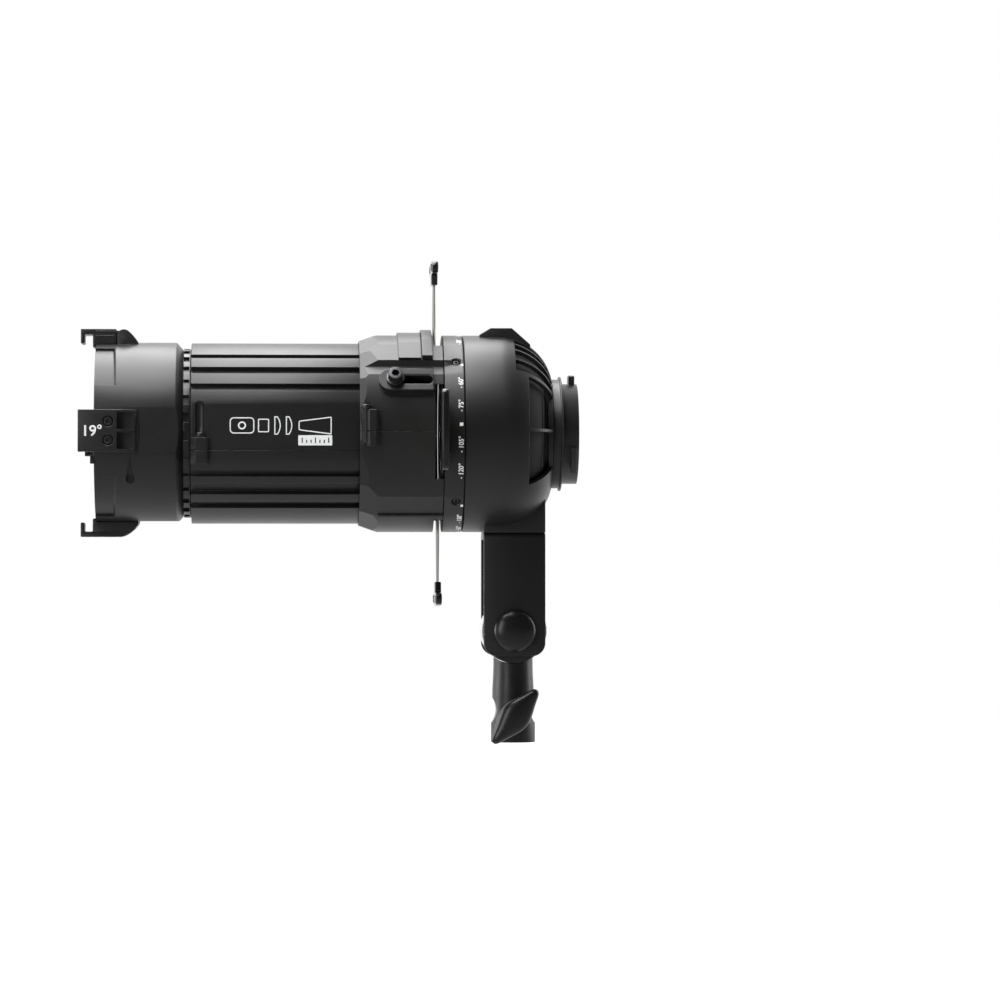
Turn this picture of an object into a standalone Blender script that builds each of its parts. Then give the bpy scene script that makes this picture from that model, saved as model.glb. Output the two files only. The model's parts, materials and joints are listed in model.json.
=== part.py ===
"""Ellipsoidal spotlight attachment: a 19 degree profile lens tube, a shutter gate and a vented
rear housing with a lamp mount, on a yoke that tilts on a 16 mm stud receiver.

Frame: the origin is the centre of the stand receiver's mouth and +Z is up.  The beam leaves
towards -X, the lamp goes on at the +X end, and -Y is the near side.
Every size is in millimetres and is turned into metres where a mesh is made.
"""
import math

import bmesh
import bpy
from mathutils import Matrix

MM = 0.001
GAP = 0.3                    # clearance between pieces that touch

# Optical axis and revolved work
AXIS_Z = 185.0
FINE = 40                    # sides of the large round pieces
MEDIUM = 32
COARSE = 20
SMALL = 12

# Front hood and what it holds
HOOD_FRONT = -249.5
HOOD_REAR = -197.6
HOOD_RADIUS = 54.3
HOOD_BORE = 50.3
HOOD_LIP_RADIUS = 49.0
FRONT_LENS_SEAT = -226.0

# Accessory claws
CLAW_FRONT = -258.6
CLAW_REAR = -224.3
CLAW_RADIUS = 62.0
CLAW_HALF_WIDTH = 12.4
CHANNEL_FRONT = -256.4
CHANNEL_REAR = -251.4
CHANNEL_ROOF = 58.8
CLAW_SCREW_X = -240.9
CLAW_SCREW_OFFSET = 5.5
LATCH_PIVOT_X = -233.0
LATCH_PIVOT_R = 58.0
LATCH_LUG_RADIUS = 3.9

# Neck ring and barrel
NECK_RADIUS = 48.7
NECK_BORE = 45.5
BARREL_FRONT = -192.7
BARREL_REAR = -86.0
BARREL_RADIUS = 54.0
BARREL_BORE = 49.3
BARREL_FLAT = 51.5           # distance of the side panels from the axis
BARREL_SPLIT = -11.2
GROOVE_RADIUS = 51.0
UPPER_GROOVES = ((26.4, 31.5), (39.6, 45.3), (54.4, 58.6))
LOWER_GROOVES = ((25.0, 29.5), (34.5, 43.2), (50.4, 56.4))
BARREL_EAR_X = -187.2
BARREL_EAR_REAR = -182.0
BARREL_EAR_Y = 53.0

# Gate housing
GATE_FRONT = -93.0
GATE_REAR = -43.4
GATE_RADIUS = 59.0
GATE_BORE = 54.3
GATE_SIDE = 55.5
GATE_EAR_X = -89.6
GATE_EAR_Y = 57.0
SHUTTER_X = -46.0
SHUTTER_SLOT_FRONT = -48.6
SHUTTER_SLOT_HALF = 28.0
SHUTTER_SLOT_DEPTH = 44.0    # how near to the axis the slots are cut
GOBO_SLOT = (-66.0, -60.0)
IRIS_SLOT = (-54.4, -51.2)
GOBO_COVER = (-70.0, -56.3)
IRIS_COVER = (-56.0, -49.7)
TONGUE_RADIUS = 55.4         # inside of the covers' tongues, clear of the barrel
APERTURE = 26.0
PLATE_RADIUS = 53.9

# Focus rail and lock screw
FOCUS_ELEVATION = 31.0
FOCUS_SCREW_X = -72.2
FOCUS_TRAVEL = 19.0
RAIL_ENDS = (-82.0, -49.6)
RAIL_HALF_WIDTH = 7.5
RAIL_TOP = 60.0

# Index ring, bearing and rear housing
INDEX_FRONT = -43.1
INDEX_REAR = -31.3
INDEX_RADIUS = 58.8
INDEX_BORE = 48.5
SPIGOT_RADIUS = 52.1
SPIGOT_REAR = -22.0
HOUSING_FRONT = -31.0
HOUSING_SHOULDER = -9.5
HOUSING_FILLET = 33.0
HOUSING_WALL = 2.5
TUBE_RADIUS = 32.7
TUBE_BORE = 27.5
TUBE_REAR = 38.0

# Yoke, tilt joint and stand receiver
BRACKET_HALF_X = 18.4
BRACKET_HALF_Y = 19.2
BRACKET_LEG = 4.0
BRACKET_TOP = 125.5
BRACKET_FOOT = 51.8
BRACKET_SCREW_X = 9.0
TILT_Z = 67.0
KNUCKLE_RADIUS = 19.5
KNUCKLE_HALF = 14.8
AXLE_RADIUS = 4.7
STEM_RADIUS = 12.7
COLLAR_RADIUS = 13.3
SOCKET_RADIUS = 8.1
SOCKET_DEPTH = 35.0
CLAMP_Z = 16.0

# Colour, roughness and metallic value of each finish
FINISHES = {
    "cast_black": ((0.030, 0.031, 0.030), 0.45, 0.0),
    "moulded_black": ((0.018, 0.018, 0.019), 0.38, 0.0),
    "gloss_black": ((0.012, 0.012, 0.013), 0.18, 0.0),
    "screw_black": ((0.020, 0.020, 0.021), 0.30, 0.8),
    "stainless": ((0.56, 0.55, 0.52), 0.28, 1.0),
    "bright_alloy": ((0.60, 0.60, 0.61), 0.30, 1.0),
    "optical_glass": ((0.85, 0.90, 0.92), 0.03, 0.0),
}

# Sides of the optical axis: degrees turned about it from the top, seen from the rear
SIDES = {"top": 0.0, "near": 90.0, "bottom": 180.0, "far": 270.0}


def clear_scene():
    for obj in list(bpy.data.objects):
        bpy.data.objects.remove(obj, do_unlink=True)


def new_collection(name):
    collection = bpy.data.collections.new(name)
    bpy.context.scene.collection.children.link(collection)
    return collection


def finish(name):
    if name in bpy.data.materials:
        return bpy.data.materials[name]
    colour, roughness, metallic = FINISHES[name]
    material = bpy.data.materials.new(name)
    material.use_nodes = True
    shader = material.node_tree.nodes["Principled BSDF"]
    shader.inputs["Base Color"].default_value = (*colour, 1.0)
    shader.inputs["Roughness"].default_value = roughness
    shader.inputs["Metallic"].default_value = metallic
    return material


# ---------------------------------------------------------------- placing

OPTICAL_ORIGIN = Matrix.Translation((0, 0, AXIS_Z * MM))
# Local Z along +X on the optical axis, for turned pieces
TURN_X = OPTICAL_ORIGIN @ Matrix.Rotation(math.pi / 2, 4, "Y")
# Outline (y, z) seen along +X, extruded along X
SECTION_X = OPTICAL_ORIGIN @ Matrix(((0, 0, 1, 0), (1, 0, 0, 0), (0, 1, 0, 0), (0, 0, 0, 1)))
# Outline (x, distance from the optical axis), extruded towards -Y
PROFILE_Y = OPTICAL_ORIGIN @ Matrix.Rotation(math.pi / 2, 4, "X")
# The same two from the stand's origin: local Z along -Y
STAND_Y = Matrix.Rotation(math.pi / 2, 4, "X")
TILT_Y = Matrix.Translation((0, 0, TILT_Z * MM)) @ STAND_Y


def around_axis(degrees):
    """Turn about the optical axis: 0 stays on top and 90 goes to the near side."""
    turn = Matrix.Rotation(math.radians(degrees), 4, "X")
    return OPTICAL_ORIGIN @ turn @ OPTICAL_ORIGIN.inverted()


# ---------------------------------------------------------------- making meshes

def add_object(name, mesh, place):
    obj = bpy.data.objects.new(name, mesh)
    obj.matrix_world = place
    bpy.context.scene.collection.objects.link(obj)
    return obj


def as_mesh(obj, name):
    """Replace a curve or a modified object by the closed mesh that it evaluates to."""
    graph = bpy.context.evaluated_depsgraph_get()
    mesh = bpy.data.meshes.new_from_object(obj.evaluated_get(graph))
    place = obj.matrix_world.copy()
    bpy.data.objects.remove(obj, do_unlink=True)
    bm = bmesh.new()
    bm.from_mesh(mesh)
    bmesh.ops.remove_doubles(bm, verts=bm.verts, dist=0.000002)
    bmesh.ops.recalc_face_normals(bm, faces=bm.faces)
    bm.to_mesh(mesh)
    bm.free()
    return add_object(name, mesh, place)


def arc(radius, start, end, count, centre=(0.0, 0.0)):
    """Points on an arc from start to end, in degrees, both ends included."""
    points = []
    for step in range(count):
        angle = math.radians(start + (end - start) * step / (count - 1))
        points.append((centre[0] + radius * math.cos(angle), centre[1] + radius * math.sin(angle)))
    return points


def without_repeats(points):
    kept = []
    for point in points:
        if not kept or math.dist(point, kept[-1]) > 0.01:
            kept.append(point)
    if math.dist(kept[0], kept[-1]) < 0.01:
        kept.pop()
    return kept


def turned(name, profile, steps, place=TURN_X):
    """Solid of revolution about the placed Z axis.  The profile's points are (along, radius);
    it is closed across its ends unless both lie on the axis."""
    closed = profile[0][1] > 0 or profile[-1][1] > 0
    area = 0.0
    for (along_a, radius_a), (along_b, radius_b) in zip(profile, profile[1:] + profile[:1]):
        area += radius_a * along_b - radius_b * along_a
    if area > 0:
        profile = profile[::-1]
    bm = bmesh.new()
    corners = [bm.verts.new((radius * MM, 0, along * MM)) for along, radius in profile]
    for first, second in zip(corners, corners[1:]):
        bm.edges.new((first, second))
    if closed:
        bm.edges.new((corners[-1], corners[0]))
    mesh = bpy.data.meshes.new(name)
    bm.to_mesh(mesh)
    bm.free()
    obj = add_object(name, mesh, place)
    screw = obj.modifiers.new("turn", "SCREW")
    screw.angle = 2 * math.pi
    screw.steps = steps
    screw.render_steps = steps
    screw.use_merge_vertices = True
    screw.merge_threshold = 0.00001
    return as_mesh(obj, name)


def prism(name, outlines, low, high, place):
    """Flat outline extruded along the placed Z axis from low to high; further outlines are holes."""
    curve = bpy.data.curves.new(name, "CURVE")
    curve.dimensions = "2D"
    curve.fill_mode = "BOTH"
    curve.extrude = (high - low) / 2 * MM
    for outline in outlines:
        points = without_repeats(outline)
        spline = curve.splines.new("POLY")
        spline.points.add(len(points) - 1)
        for knot, (across, up) in zip(spline.points, points):
            knot.co = (across * MM, up * MM, 0, 1)
        spline.use_cyclic_u = True
    middle = Matrix.Translation((0, 0, (low + high) / 2 * MM))
    return as_mesh(add_object(name, curve, place @ middle), name)


def rod(name, radius, low, high, sides, place, tip_radius=None):
    """Cylinder or cone frustum along the placed Z axis."""
    bm = bmesh.new()
    top = radius if tip_radius is None else tip_radius
    bmesh.ops.create_cone(bm, cap_ends=True, segments=sides, radius1=radius * MM,
                          radius2=top * MM, depth=(high - low) * MM)
    mesh = bpy.data.meshes.new(name)
    bm.to_mesh(mesh)
    bm.free()
    return add_object(name, mesh, place @ Matrix.Translation((0, 0, (low + high) / 2 * MM)))


def box(name, low, high, place=Matrix.Identity(4)):
    """Box between two corners."""
    size = [(b - a) * MM for a, b in zip(low, high)]
    middle = [(a + b) / 2 * MM for a, b in zip(low, high)]
    bm = bmesh.new()
    bmesh.ops.create_cube(bm, size=1.0)
    bmesh.ops.scale(bm, vec=size, verts=bm.verts)
    mesh = bpy.data.meshes.new(name)
    bm.to_mesh(mesh)
    bm.free()
    return add_object(name, mesh, place @ Matrix.Translation(middle))


def ring(name, low, high, inner, outer, steps, place=TURN_X):
    """Plain ring from low to high along the axis."""
    return turned(name, [(low, inner), (low, outer), (high, outer), (high, inner)], steps, place)


def helper(obj):
    """Keep a cutter or an added block out of the part itself."""
    for collection in list(obj.users_collection):
        collection.objects.unlink(obj)
    CUTTERS.objects.link(obj)
    obj.hide_render = True
    obj.display_type = "WIRE"


def combine(obj, tool, operation):
    helper(tool)
    boolean = obj.modifiers.new(operation.lower(), "BOOLEAN")
    boolean.operation = operation
    boolean.solver = "EXACT"
    boolean.object = tool


def cut(obj, *tools):
    for tool in tools:
        combine(obj, tool, "DIFFERENCE")


def join(obj, *tools):
    for tool in tools:
        combine(obj, tool, "UNION")


def done(obj, material_name, joint=None, smooth=True):
    """File a finished sub-part under its joint, with its finish."""
    for collection in list(obj.users_collection):
        collection.objects.unlink(obj)
    PARTS.objects.link(obj)
    obj.data.materials.clear()
    obj.data.materials.append(finish(material_name))
    if smooth:
        obj.data.shade_smooth()
        obj.data.set_sharp_from_angle(angle=math.radians(35))
    if joint is not None:
        obj.parent = joint
        obj.matrix_parent_inverse = joint.matrix_world.inverted()
    return obj


def joint_empty(name, place, parent=None):
    """Empty on a joint's axis, which its moving pieces hang from."""
    empty = bpy.data.objects.new(name, None)
    empty.empty_display_size = 0.01
    empty.matrix_world = Matrix.Translation([value * MM for value in place])
    JOINTS.objects.link(empty)
    bpy.context.view_layer.update()
    if parent is not None:
        empty.parent = parent
        empty.matrix_parent_inverse = parent.matrix_world.inverted()
        bpy.context.view_layer.update()
    return empty


# ---------------------------------------------------------------- fasteners

def cap_screw(name, place, seat, head_radius, head_height, shank_radius, shank_length, joint):
    """Socket head screw: its head stands on the seat height and its shank goes down from it."""
    top = seat + head_height
    profile = [(seat - shank_length, 0), (seat - shank_length, shank_radius),
               (seat, shank_radius), (seat, head_radius), (top, head_radius), (top, 0)]
    screw = turned(name, profile, SMALL, place)
    cut(screw, rod(name + "_socket", head_radius * 0.55, top - head_height * 0.55, top + 1, 6, place))
    return done(screw, "screw_black", joint)


# ---------------------------------------------------------------- stand side

def make_stand_receiver(joint):
    profile = [(0, SOCKET_RADIUS), (0, COLLAR_RADIUS - 0.6), (0.6, COLLAR_RADIUS), (11.4, COLLAR_RADIUS),
               (13.0, STEM_RADIUS + 0.4), (28.0, STEM_RADIUS + 0.4), (46.0, STEM_RADIUS - 0.3),
               (56.0, STEM_RADIUS - 0.3),
               (56.0, 0), (SOCKET_DEPTH, 0),
               (SOCKET_DEPTH, SOCKET_RADIUS)]
    receiver = turned("stand_receiver", profile[-2:] + profile[:-2], MEDIUM, Matrix.Identity(4))
    cut(receiver, rod("saddle", KNUCKLE_RADIUS + GAP, -30, 30, FINE, TILT_Y))
    scoop_radius = 12.1
    scoop_centre = STEM_RADIUS - 2.6 + scoop_radius
    for side in (-1, 1):
        place = Matrix.Translation((side * scoop_centre * MM, 0, 19.5 * MM)) @ STAND_Y
        cut(receiver, rod("scoop", scoop_radius, -30, 30, FINE, place))
    clamp_place = Matrix.Translation((0, 0, CLAMP_Z * MM)) @ STAND_Y
    join(receiver, turned("clamp_boss", [(9.5, 0), (9.5, 6.2), (15.0, 6.2), (15.0, 0)], COARSE, clamp_place))
    cut(receiver, rod("clamp_hole", 3.4, 4, 20, COARSE, clamp_place))
    done(receiver, "cast_black", joint)


def make_tilt_knuckle(joint):
    edge = KNUCKLE_HALF
    profile = [(-edge, 0), (-edge, KNUCKLE_RADIUS - 0.6), (-edge + 0.6, KNUCKLE_RADIUS),
               (edge - 0.6, KNUCKLE_RADIUS), (edge, KNUCKLE_RADIUS - 0.6), (edge, 0)]
    knuckle = turned("tilt_knuckle", profile, FINE, TILT_Y)
    cut(knuckle, rod("axle_hole", AXLE_RADIUS + GAP, -30, 30, COARSE, TILT_Y))
    done(knuckle, "bright_alloy", joint)


def make_tilt_bolt(joint):
    done(rod("tilt_bolt", AXLE_RADIUS, -29, 19.0, COARSE, TILT_Y), "bright_alloy", joint)


def make_tilt_lock_knob(joint):
    """Lobed knob on the far end of the axle."""
    lobes = 6
    outline = []
    for step in range(60):
        angle = 2 * math.pi * step / 60
        radius = 13.0 + 1.1 * math.cos(lobes * angle)
        outline.append((radius * math.cos(angle), radius * math.sin(angle)))
    knob = prism("tilt_lock_knob", [outline], -35.0, -24.0, TILT_Y)
    join(knob, rod("knob_hub", 9.0, -24.5, -19.6, COARSE, TILT_Y))
    cut(knob, rod("knob_bore", AXLE_RADIUS + GAP, -29.4, 0, COARSE, TILT_Y))
    done(knob, "moulded_black", joint)


def make_clamp_knob(joint):
    """Wing screw: two tapering wings on a round hub."""
    place = Matrix.Translation((0, 0, CLAMP_Z * MM)) @ STAND_Y
    tilt = place @ Matrix.Rotation(math.radians(50), 4, "Z")
    half_length, half_width, tip = 21.0, 7.2, 3.0
    shoulder = math.degrees(math.asin((half_width - tip) / (half_length - tip)))
    right = arc(tip, -90 + shoulder, 90 - shoulder, 7, (half_length - tip, 0))
    outline = right + arc(half_width, 90 - shoulder, 90 + shoulder, 5)
    outline += [(-across, up) for across, up in reversed(right)]
    outline += arc(half_width, 270 - shoulder, 270 + shoulder, 5)
    knob = prism("clamp_knob", [outline], 19.5, 29.0, tilt)
    hub = [(15.4, 0), (15.4, 6.0), (19.0, 7.0), (30.4, 6.4), (31.4, 5.0), (31.4, 0)]
    join(knob, turned("clamp_hub", hub, COARSE, tilt))
    join(knob, rod("clamp_shank", 3.0, 8.6, 16.5, COARSE, tilt))
    done(knob, "moulded_black", joint)


# ---------------------------------------------------------------- head

def make_u_bracket(joint):
    outer = BRACKET_HALF_Y
    inner = BRACKET_HALF_Y - BRACKET_LEG
    bend = 3.0
    foot = BRACKET_FOOT
    right = [(inner, foot), (outer, foot)]
    right += arc(bend, 0, 90, 5, (outer - bend, BRACKET_TOP - bend))
    inner_right = arc(1.5, 90, 0, 4, (inner - 1.5, BRACKET_TOP - BRACKET_LEG - 1.5))
    outline = right + [(-across, up) for across, up in reversed(right)]
    outline += [(-across, up) for across, up in reversed(inner_right)] + inner_right
    stand_section = OPTICAL_ORIGIN.inverted() @ SECTION_X
    bracket = prism("u_bracket", [outline], -BRACKET_HALF_X, BRACKET_HALF_X, stand_section)
    corner = 8.0
    blank = arc(corner, 180, 270, 7, (-BRACKET_HALF_X + corner, foot + corner))
    blank += arc(corner, 270, 360, 7, (BRACKET_HALF_X - corner, foot + corner))
    blank += [(BRACKET_HALF_X + 1, BRACKET_TOP - 20), (BRACKET_HALF_X + 1, BRACKET_TOP + 1)]
    blank += [(-BRACKET_HALF_X - 1, BRACKET_TOP + 1), (-BRACKET_HALF_X - 1, BRACKET_TOP - 20)]
    combine(bracket, prism("bracket_blank", [blank], -30, 30, STAND_Y), "INTERSECT")
    cut(bracket, rod("axle_hole", AXLE_RADIUS + GAP, -30, 30, COARSE, TILT_Y))
    for x in (-BRACKET_SCREW_X, BRACKET_SCREW_X):
        cut(bracket, rod("screw_hole", 2.2, 110, 130, SMALL, Matrix.Translation((x * MM, 0, 0))))
    done(bracket, "cast_black", joint)


def make_bracket_screws(joint):
    seat = BRACKET_TOP - BRACKET_LEG - GAP
    for name, x in (("bracket_screw_front", -BRACKET_SCREW_X), ("bracket_screw_rear", BRACKET_SCREW_X)):
        under = Matrix.Translation((x * MM, 0, seat * MM)) @ Matrix.Rotation(math.pi, 4, "X")
        cap_screw(name, under, 0.0, 3.5, 3.2, 1.9, 6.2, joint)


def make_tilt_cap(joint):
    back = BRACKET_HALF_Y + GAP
    profile = [(back, 0), (back, 12.6), (back + 1.2, 12.6)]
    profile += [(back + 1.2 + 5.0 * math.sin(math.radians(a)), 12.6 * math.cos(math.radians(a)))
                for a in (20, 40, 60, 75)]
    profile += [(back + 6.2, 0)]
    done(turned("tilt_cap", profile, MEDIUM, TILT_Y), "moulded_black", joint)


def dome(radius, opening, count):
    """Quarter-round shoulder of the rear housing at one of its two walls, from the rim to the opening."""
    centre = (HOUSING_SHOULDER, GATE_RADIUS - HOUSING_FILLET)
    fillet = radius - centre[1]
    low = math.degrees(math.asin((opening - centre[1]) / fillet))
    return arc(fillet, 90, low, count, centre)


def sector(inner, outer, start, end, count=4):
    """Part of a ring between two angles, in degrees from +Y towards +Z."""
    return arc(outer, start, end, count) + arc(inner, end, start, count)


def make_rear_housing(joint):
    opening = TUBE_RADIUS + 0.4
    outer = dome(GATE_RADIUS, opening, 9)
    solid = [(HOUSING_FRONT, 0), (HOUSING_FRONT, GATE_RADIUS)] + outer + [(outer[-1][0], 0)]
    housing = turned("rear_housing", solid, FINE)
    lug = [(-20.9, 50.0), (-20.9, 58.9), (-14.2, 63.0), (-1.4, 63.0), (9.7, 53.2), (9.7, 44.0)]
    join(housing, prism("top_lug", [lug], -14.0, 14.0, PROFILE_Y))
    boss_low = BRACKET_TOP + GAP - AXIS_Z
    join(housing, box("bottom_boss", (-BRACKET_HALF_X, -BRACKET_HALF_Y, boss_low),
                      (BRACKET_HALF_X, BRACKET_HALF_Y, -30.0), OPTICAL_ORIGIN))
    inner_radius = GATE_RADIUS - HOUSING_WALL
    inner = dome(inner_radius, opening, 7)
    cavity = [(HOUSING_FRONT - 5, 0), (HOUSING_FRONT - 5, inner_radius)] + inner
    cavity += [(40.0, opening), (40.0, 0)]
    cut(housing, turned("housing_cavity", cavity, FINE))
    fins = (39.0, 49.0, 59.0, 67.0, 75.0)
    fin_half = 0.7
    for near in (False, True):
        for low, high in zip(fins, fins[1:]):
            start, end = low + fin_half, high - fin_half
            if near:
                start, end = 180 - end, 180 - start
            cut(housing, prism("vent", [sector(35.5, 70.0, start, end)], -0.5, 30.0, SECTION_X))
        for start, end in ((2.2, 37.0), (-35.0, 0.0)):
            if near:
                start, end = 180 - end, 180 - start
            cut(housing, prism("side_window", [sector(35.5, 70.0, start, end, 7)], 7.0, 30.0, SECTION_X))
    for x in (-BRACKET_SCREW_X, BRACKET_SCREW_X):
        place = Matrix.Translation((x * MM, 0, 0))
        cut(housing, rod("boss_hole", 2.2, 120.0, 127.6, SMALL, place))
    done(housing, "cast_black", joint)


def make_mount_tube(joint):
    profile = [(14.0, TUBE_BORE), (14.0, 40.0), (16.0, 40.0), (16.0, TUBE_RADIUS), (27.2, TUBE_RADIUS),
               (27.2, 34.3), (28.4, 34.3), (28.4, 30.0), (TUBE_REAR, 30.0), (TUBE_REAR, TUBE_BORE)]
    tube = turned("mount_tube", profile, MEDIUM)
    for middle in (90, 210, 330):
        join(tube, prism("lug", [sector(28.8, 35.2, middle - 13, middle + 13, 5)], 33.0, 36.5, SECTION_X))
    done(tube, "cast_black", joint)


def make_condenser(joint):
    profile = [(-18.0, 33.0), (-18.0, 37.0), (13.6, 37.0), (13.6, 30.0), (11.6, 30.0), (11.6, 34.6),
               (-15.6, 34.6), (-15.6, 33.0)]
    done(turned("condenser_holder", profile, MEDIUM), "cast_black", joint)
    lens = [(-6.4, 0), (-6.2, 8), (-5.6, 15), (-4.3, 23), (-2.6, 29), (-1.0, 32), (-1.0, 34.2),
            (1.6, 34.2), (1.6, 32), (3.2, 29), (6.0, 20), (7.6, 11), (8.2, 0)]
    done(turned("condenser_lens", lens, MEDIUM), "optical_glass", joint)


def make_bearing_ring(joint):
    outer = GATE_RADIUS - HOUSING_WALL - 0.4
    done(ring("bearing_ring", -30.5, -24.0, SPIGOT_RADIUS + 0.4, outer, MEDIUM), "bright_alloy", joint)


# ---------------------------------------------------------------- gate

def gate_section(side):
    """Right half of the gate housing's outline from the split to the middle, side +1 above."""
    if side > 0:
        bulge, ledge = 68.7, (0.15, 8.0, 16.0, 25.0, 34.0)
        corners = [(40.8, 38.5), (40.8, 42.6)]
        start = math.degrees(math.acos(27.0 / GATE_RADIUS))
    else:
        bulge, ledge = 74.3, (0.15, 10.0, 20.0, 30.0, 38.4)
        corners = []
        start = math.degrees(math.acos(32.4 / GATE_RADIUS))
    points = [(GATE_SIDE - bulge + math.sqrt(bulge ** 2 - up ** 2), up) for up in ledge]
    points += corners + arc(GATE_RADIUS, start, 90, 6)
    return points


def both_sides(right, bore, split):
    """Closed C outline from its right half, with a round bore inside."""
    left = [(-across, up) for across, up in reversed(right)]
    start = 180 - math.degrees(math.asin(split / bore))
    return right + left[1:] + arc(bore, start, 180 - start, 27)


def make_gate_shell(name, side, joint):
    outline = both_sides(gate_section(side), GATE_BORE, 0.15)
    outline = [(across, side * up) for across, up in outline]
    shell = prism(name, [outline], GATE_FRONT, GATE_REAR, SECTION_X)
    ear = (0.15, 12.8) if side > 0 else (-8.6, -0.15)
    for y_side in (-1, 1):
        across = sorted((y_side * 50.0, y_side * 60.0))
        join(shell, box("ear", (GATE_FRONT, across[0], ear[0]), (-82.3, across[1], ear[1]), OPTICAL_ORIGIN))
    if side > 0:
        place = focus_frame()
        low, high = (end + offset for end, offset in zip(RAIL_ENDS, (RAIL_HALF_WIDTH, -RAIL_HALF_WIDTH)))
        plate = arc(RAIL_HALF_WIDTH, 90, 270, 9, (low, 0)) + arc(RAIL_HALF_WIDTH, -90, 90, 9, (high, 0))
        join(shell, prism("rail_plate", [plate], 50.0, RAIL_TOP, place))
    cut(shell, turned("gate_bore", [(-120, 0), (-120, GATE_BORE), (-30, GATE_BORE), (-30, 0)], FINE))
    cut(shell, turned("front_bevel", [(-94, 54.95), (-80, 59.88), (-80, 75), (-94, 75)], FINE))
    for y_side in (-1, 1):
        hole = OPTICAL_ORIGIN @ Matrix.Translation((GATE_EAR_X * MM, y_side * GATE_EAR_Y * MM, 0))
        cut(shell, rod("ear_hole", 1.6, -20, 20, SMALL, hole))
        slot = sorted((y_side * SHUTTER_SLOT_DEPTH, y_side * 70.0))
        cut(shell, box("side_shutter_slot", (SHUTTER_SLOT_FRONT, slot[0], -SHUTTER_SLOT_HALF),
                       (GATE_REAR + 1, slot[1], SHUTTER_SLOT_HALF), OPTICAL_ORIGIN))
        if side > 0:
            access = OPTICAL_ORIGIN @ Matrix.Translation((GATE_EAR_X * MM, y_side * 56.3 * MM, 0))
            cut(shell, rod("tool_access", 2.9, 12.8, 27.0, SMALL, access))
    up = sorted((side * SHUTTER_SLOT_DEPTH, side * 70.0))
    cut(shell, box("shutter_slot", (SHUTTER_SLOT_FRONT, -SHUTTER_SLOT_HALF, up[0]),
                   (GATE_REAR + 1, SHUTTER_SLOT_HALF, up[1]), OPTICAL_ORIGIN))
    if side > 0:
        for low, high in (GOBO_SLOT, IRIS_SLOT):
            cut(shell, box("top_slot", (low, -30.0, 40.0), (high, 30.0, 70.0), OPTICAL_ORIGIN))
        ends = (FOCUS_SCREW_X - 0.2, FOCUS_SCREW_X + FOCUS_TRAVEL + 0.4)
        slot = arc(2.9, 90, 270, 7, (ends[0], 0)) + arc(2.9, -90, 90, 7, (ends[1], 0))
        cut(shell, prism("rail_slot", [slot], 40.0, 70.0, place))
    done(shell, "cast_black", joint)


def make_gate_screws(joint):
    for name, y_side in (("gate_screw_near", -1), ("gate_screw_far", 1)):
        place = OPTICAL_ORIGIN @ Matrix.Translation((GATE_EAR_X * MM, y_side * GATE_EAR_Y * MM, 0))
        cap_screw(name, place, 12.8 + GAP, 2.7, 2.6, 1.3, 20.0, joint)


def make_gate_plates(joint):
    front = ring("gate_front_plate", -49.5, SHUTTER_SLOT_FRONT + 0.1, APERTURE, PLATE_RADIUS, MEDIUM)
    done(front, "stainless", joint)
    done(ring("gate_rear_plate", -43.4, -42.1, APERTURE, 50.2, MEDIUM), "stainless", joint)


def section_radius(degrees):
    """Distance from the axis to the gate housing's outline, at an angle from +Y towards +Z."""
    direction = (abs(math.cos(math.radians(degrees))), math.sin(math.radians(degrees)))
    side = 1 if direction[1] >= 0 else -1
    right = [(GATE_SIDE, 0.0)] + gate_section(side)[1:]
    corners = [(across, side * up) for across, up in right]
    for (y_a, z_a), (y_b, z_b) in zip(corners, corners[1:]):
        turn_a = direction[0] * z_a - direction[1] * y_a
        turn_b = direction[0] * z_b - direction[1] * y_b
        if turn_a * turn_b <= 0 and turn_a != turn_b:
            share = turn_a / (turn_a - turn_b)
            return math.hypot(y_a + (y_b - y_a) * share, z_a + (z_b - z_a) * share)
    return GATE_RADIUS


def lofted(name, front, rear, steps):
    """Solid whose outline changes from the gate housing's section at its front to a circle."""
    bm = bmesh.new()
    loops = []
    for x, blend in ((front, 0.0), (rear, 1.0)):
        loop = []
        for step in range(steps):
            degrees = 360 * step / steps
            radius = section_radius(degrees) * (1 - blend) + INDEX_RADIUS * blend
            angle = math.radians(degrees)
            loop.append(bm.verts.new((x * MM, radius * math.cos(angle) * MM, radius * math.sin(angle) * MM)))
        loops.append(loop)
    edges = [bm.edges.new((loop[step - 1], loop[step])) for loop in loops for step in range(steps)]
    bmesh.ops.bridge_loops(bm, edges=edges)
    for loop in loops:
        bm.faces.new(loop)
    bmesh.ops.recalc_face_normals(bm, faces=bm.faces)
    mesh = bpy.data.meshes.new(name)
    bm.to_mesh(mesh)
    bm.free()
    return add_object(name, mesh, OPTICAL_ORIGIN)


def make_index_ring(joint):
    """Rear end of the turning gate: faceted like the housing in front and round behind, with a spigot."""
    index = lofted("index_ring", INDEX_FRONT, INDEX_REAR, 2 * FINE)
    join(index, turned("spigot", [(INDEX_REAR - 3, 0), (INDEX_REAR - 3, SPIGOT_RADIUS),
                                  (SPIGOT_REAR, SPIGOT_RADIUS), (SPIGOT_REAR, 0)], FINE))
    cut(index, turned("index_bore", [(-60, 0), (-60, 50.6), (-41.6, 50.6), (-41.6, INDEX_BORE),
                                     (0, INDEX_BORE), (0, 0)], FINE))
    for corner in range(4):
        place = around_axis(45 + 90 * corner) @ OPTICAL_ORIGIN @ Matrix.Translation((-36.0 * MM, 0, 0))
        cut(index, rod("screw_hole", 2.3, 53.0, 62.0, SMALL, place))
        screw = rod("index_screw_%d" % (corner + 1), 1.9, 53.4, 58.0, SMALL, place)
        cut(screw, rod("screw_socket", 1.0, 56.6, 60.0, 6, place))
        done(screw, "screw_black", joint)
    done(index, "cast_black", joint)


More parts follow.
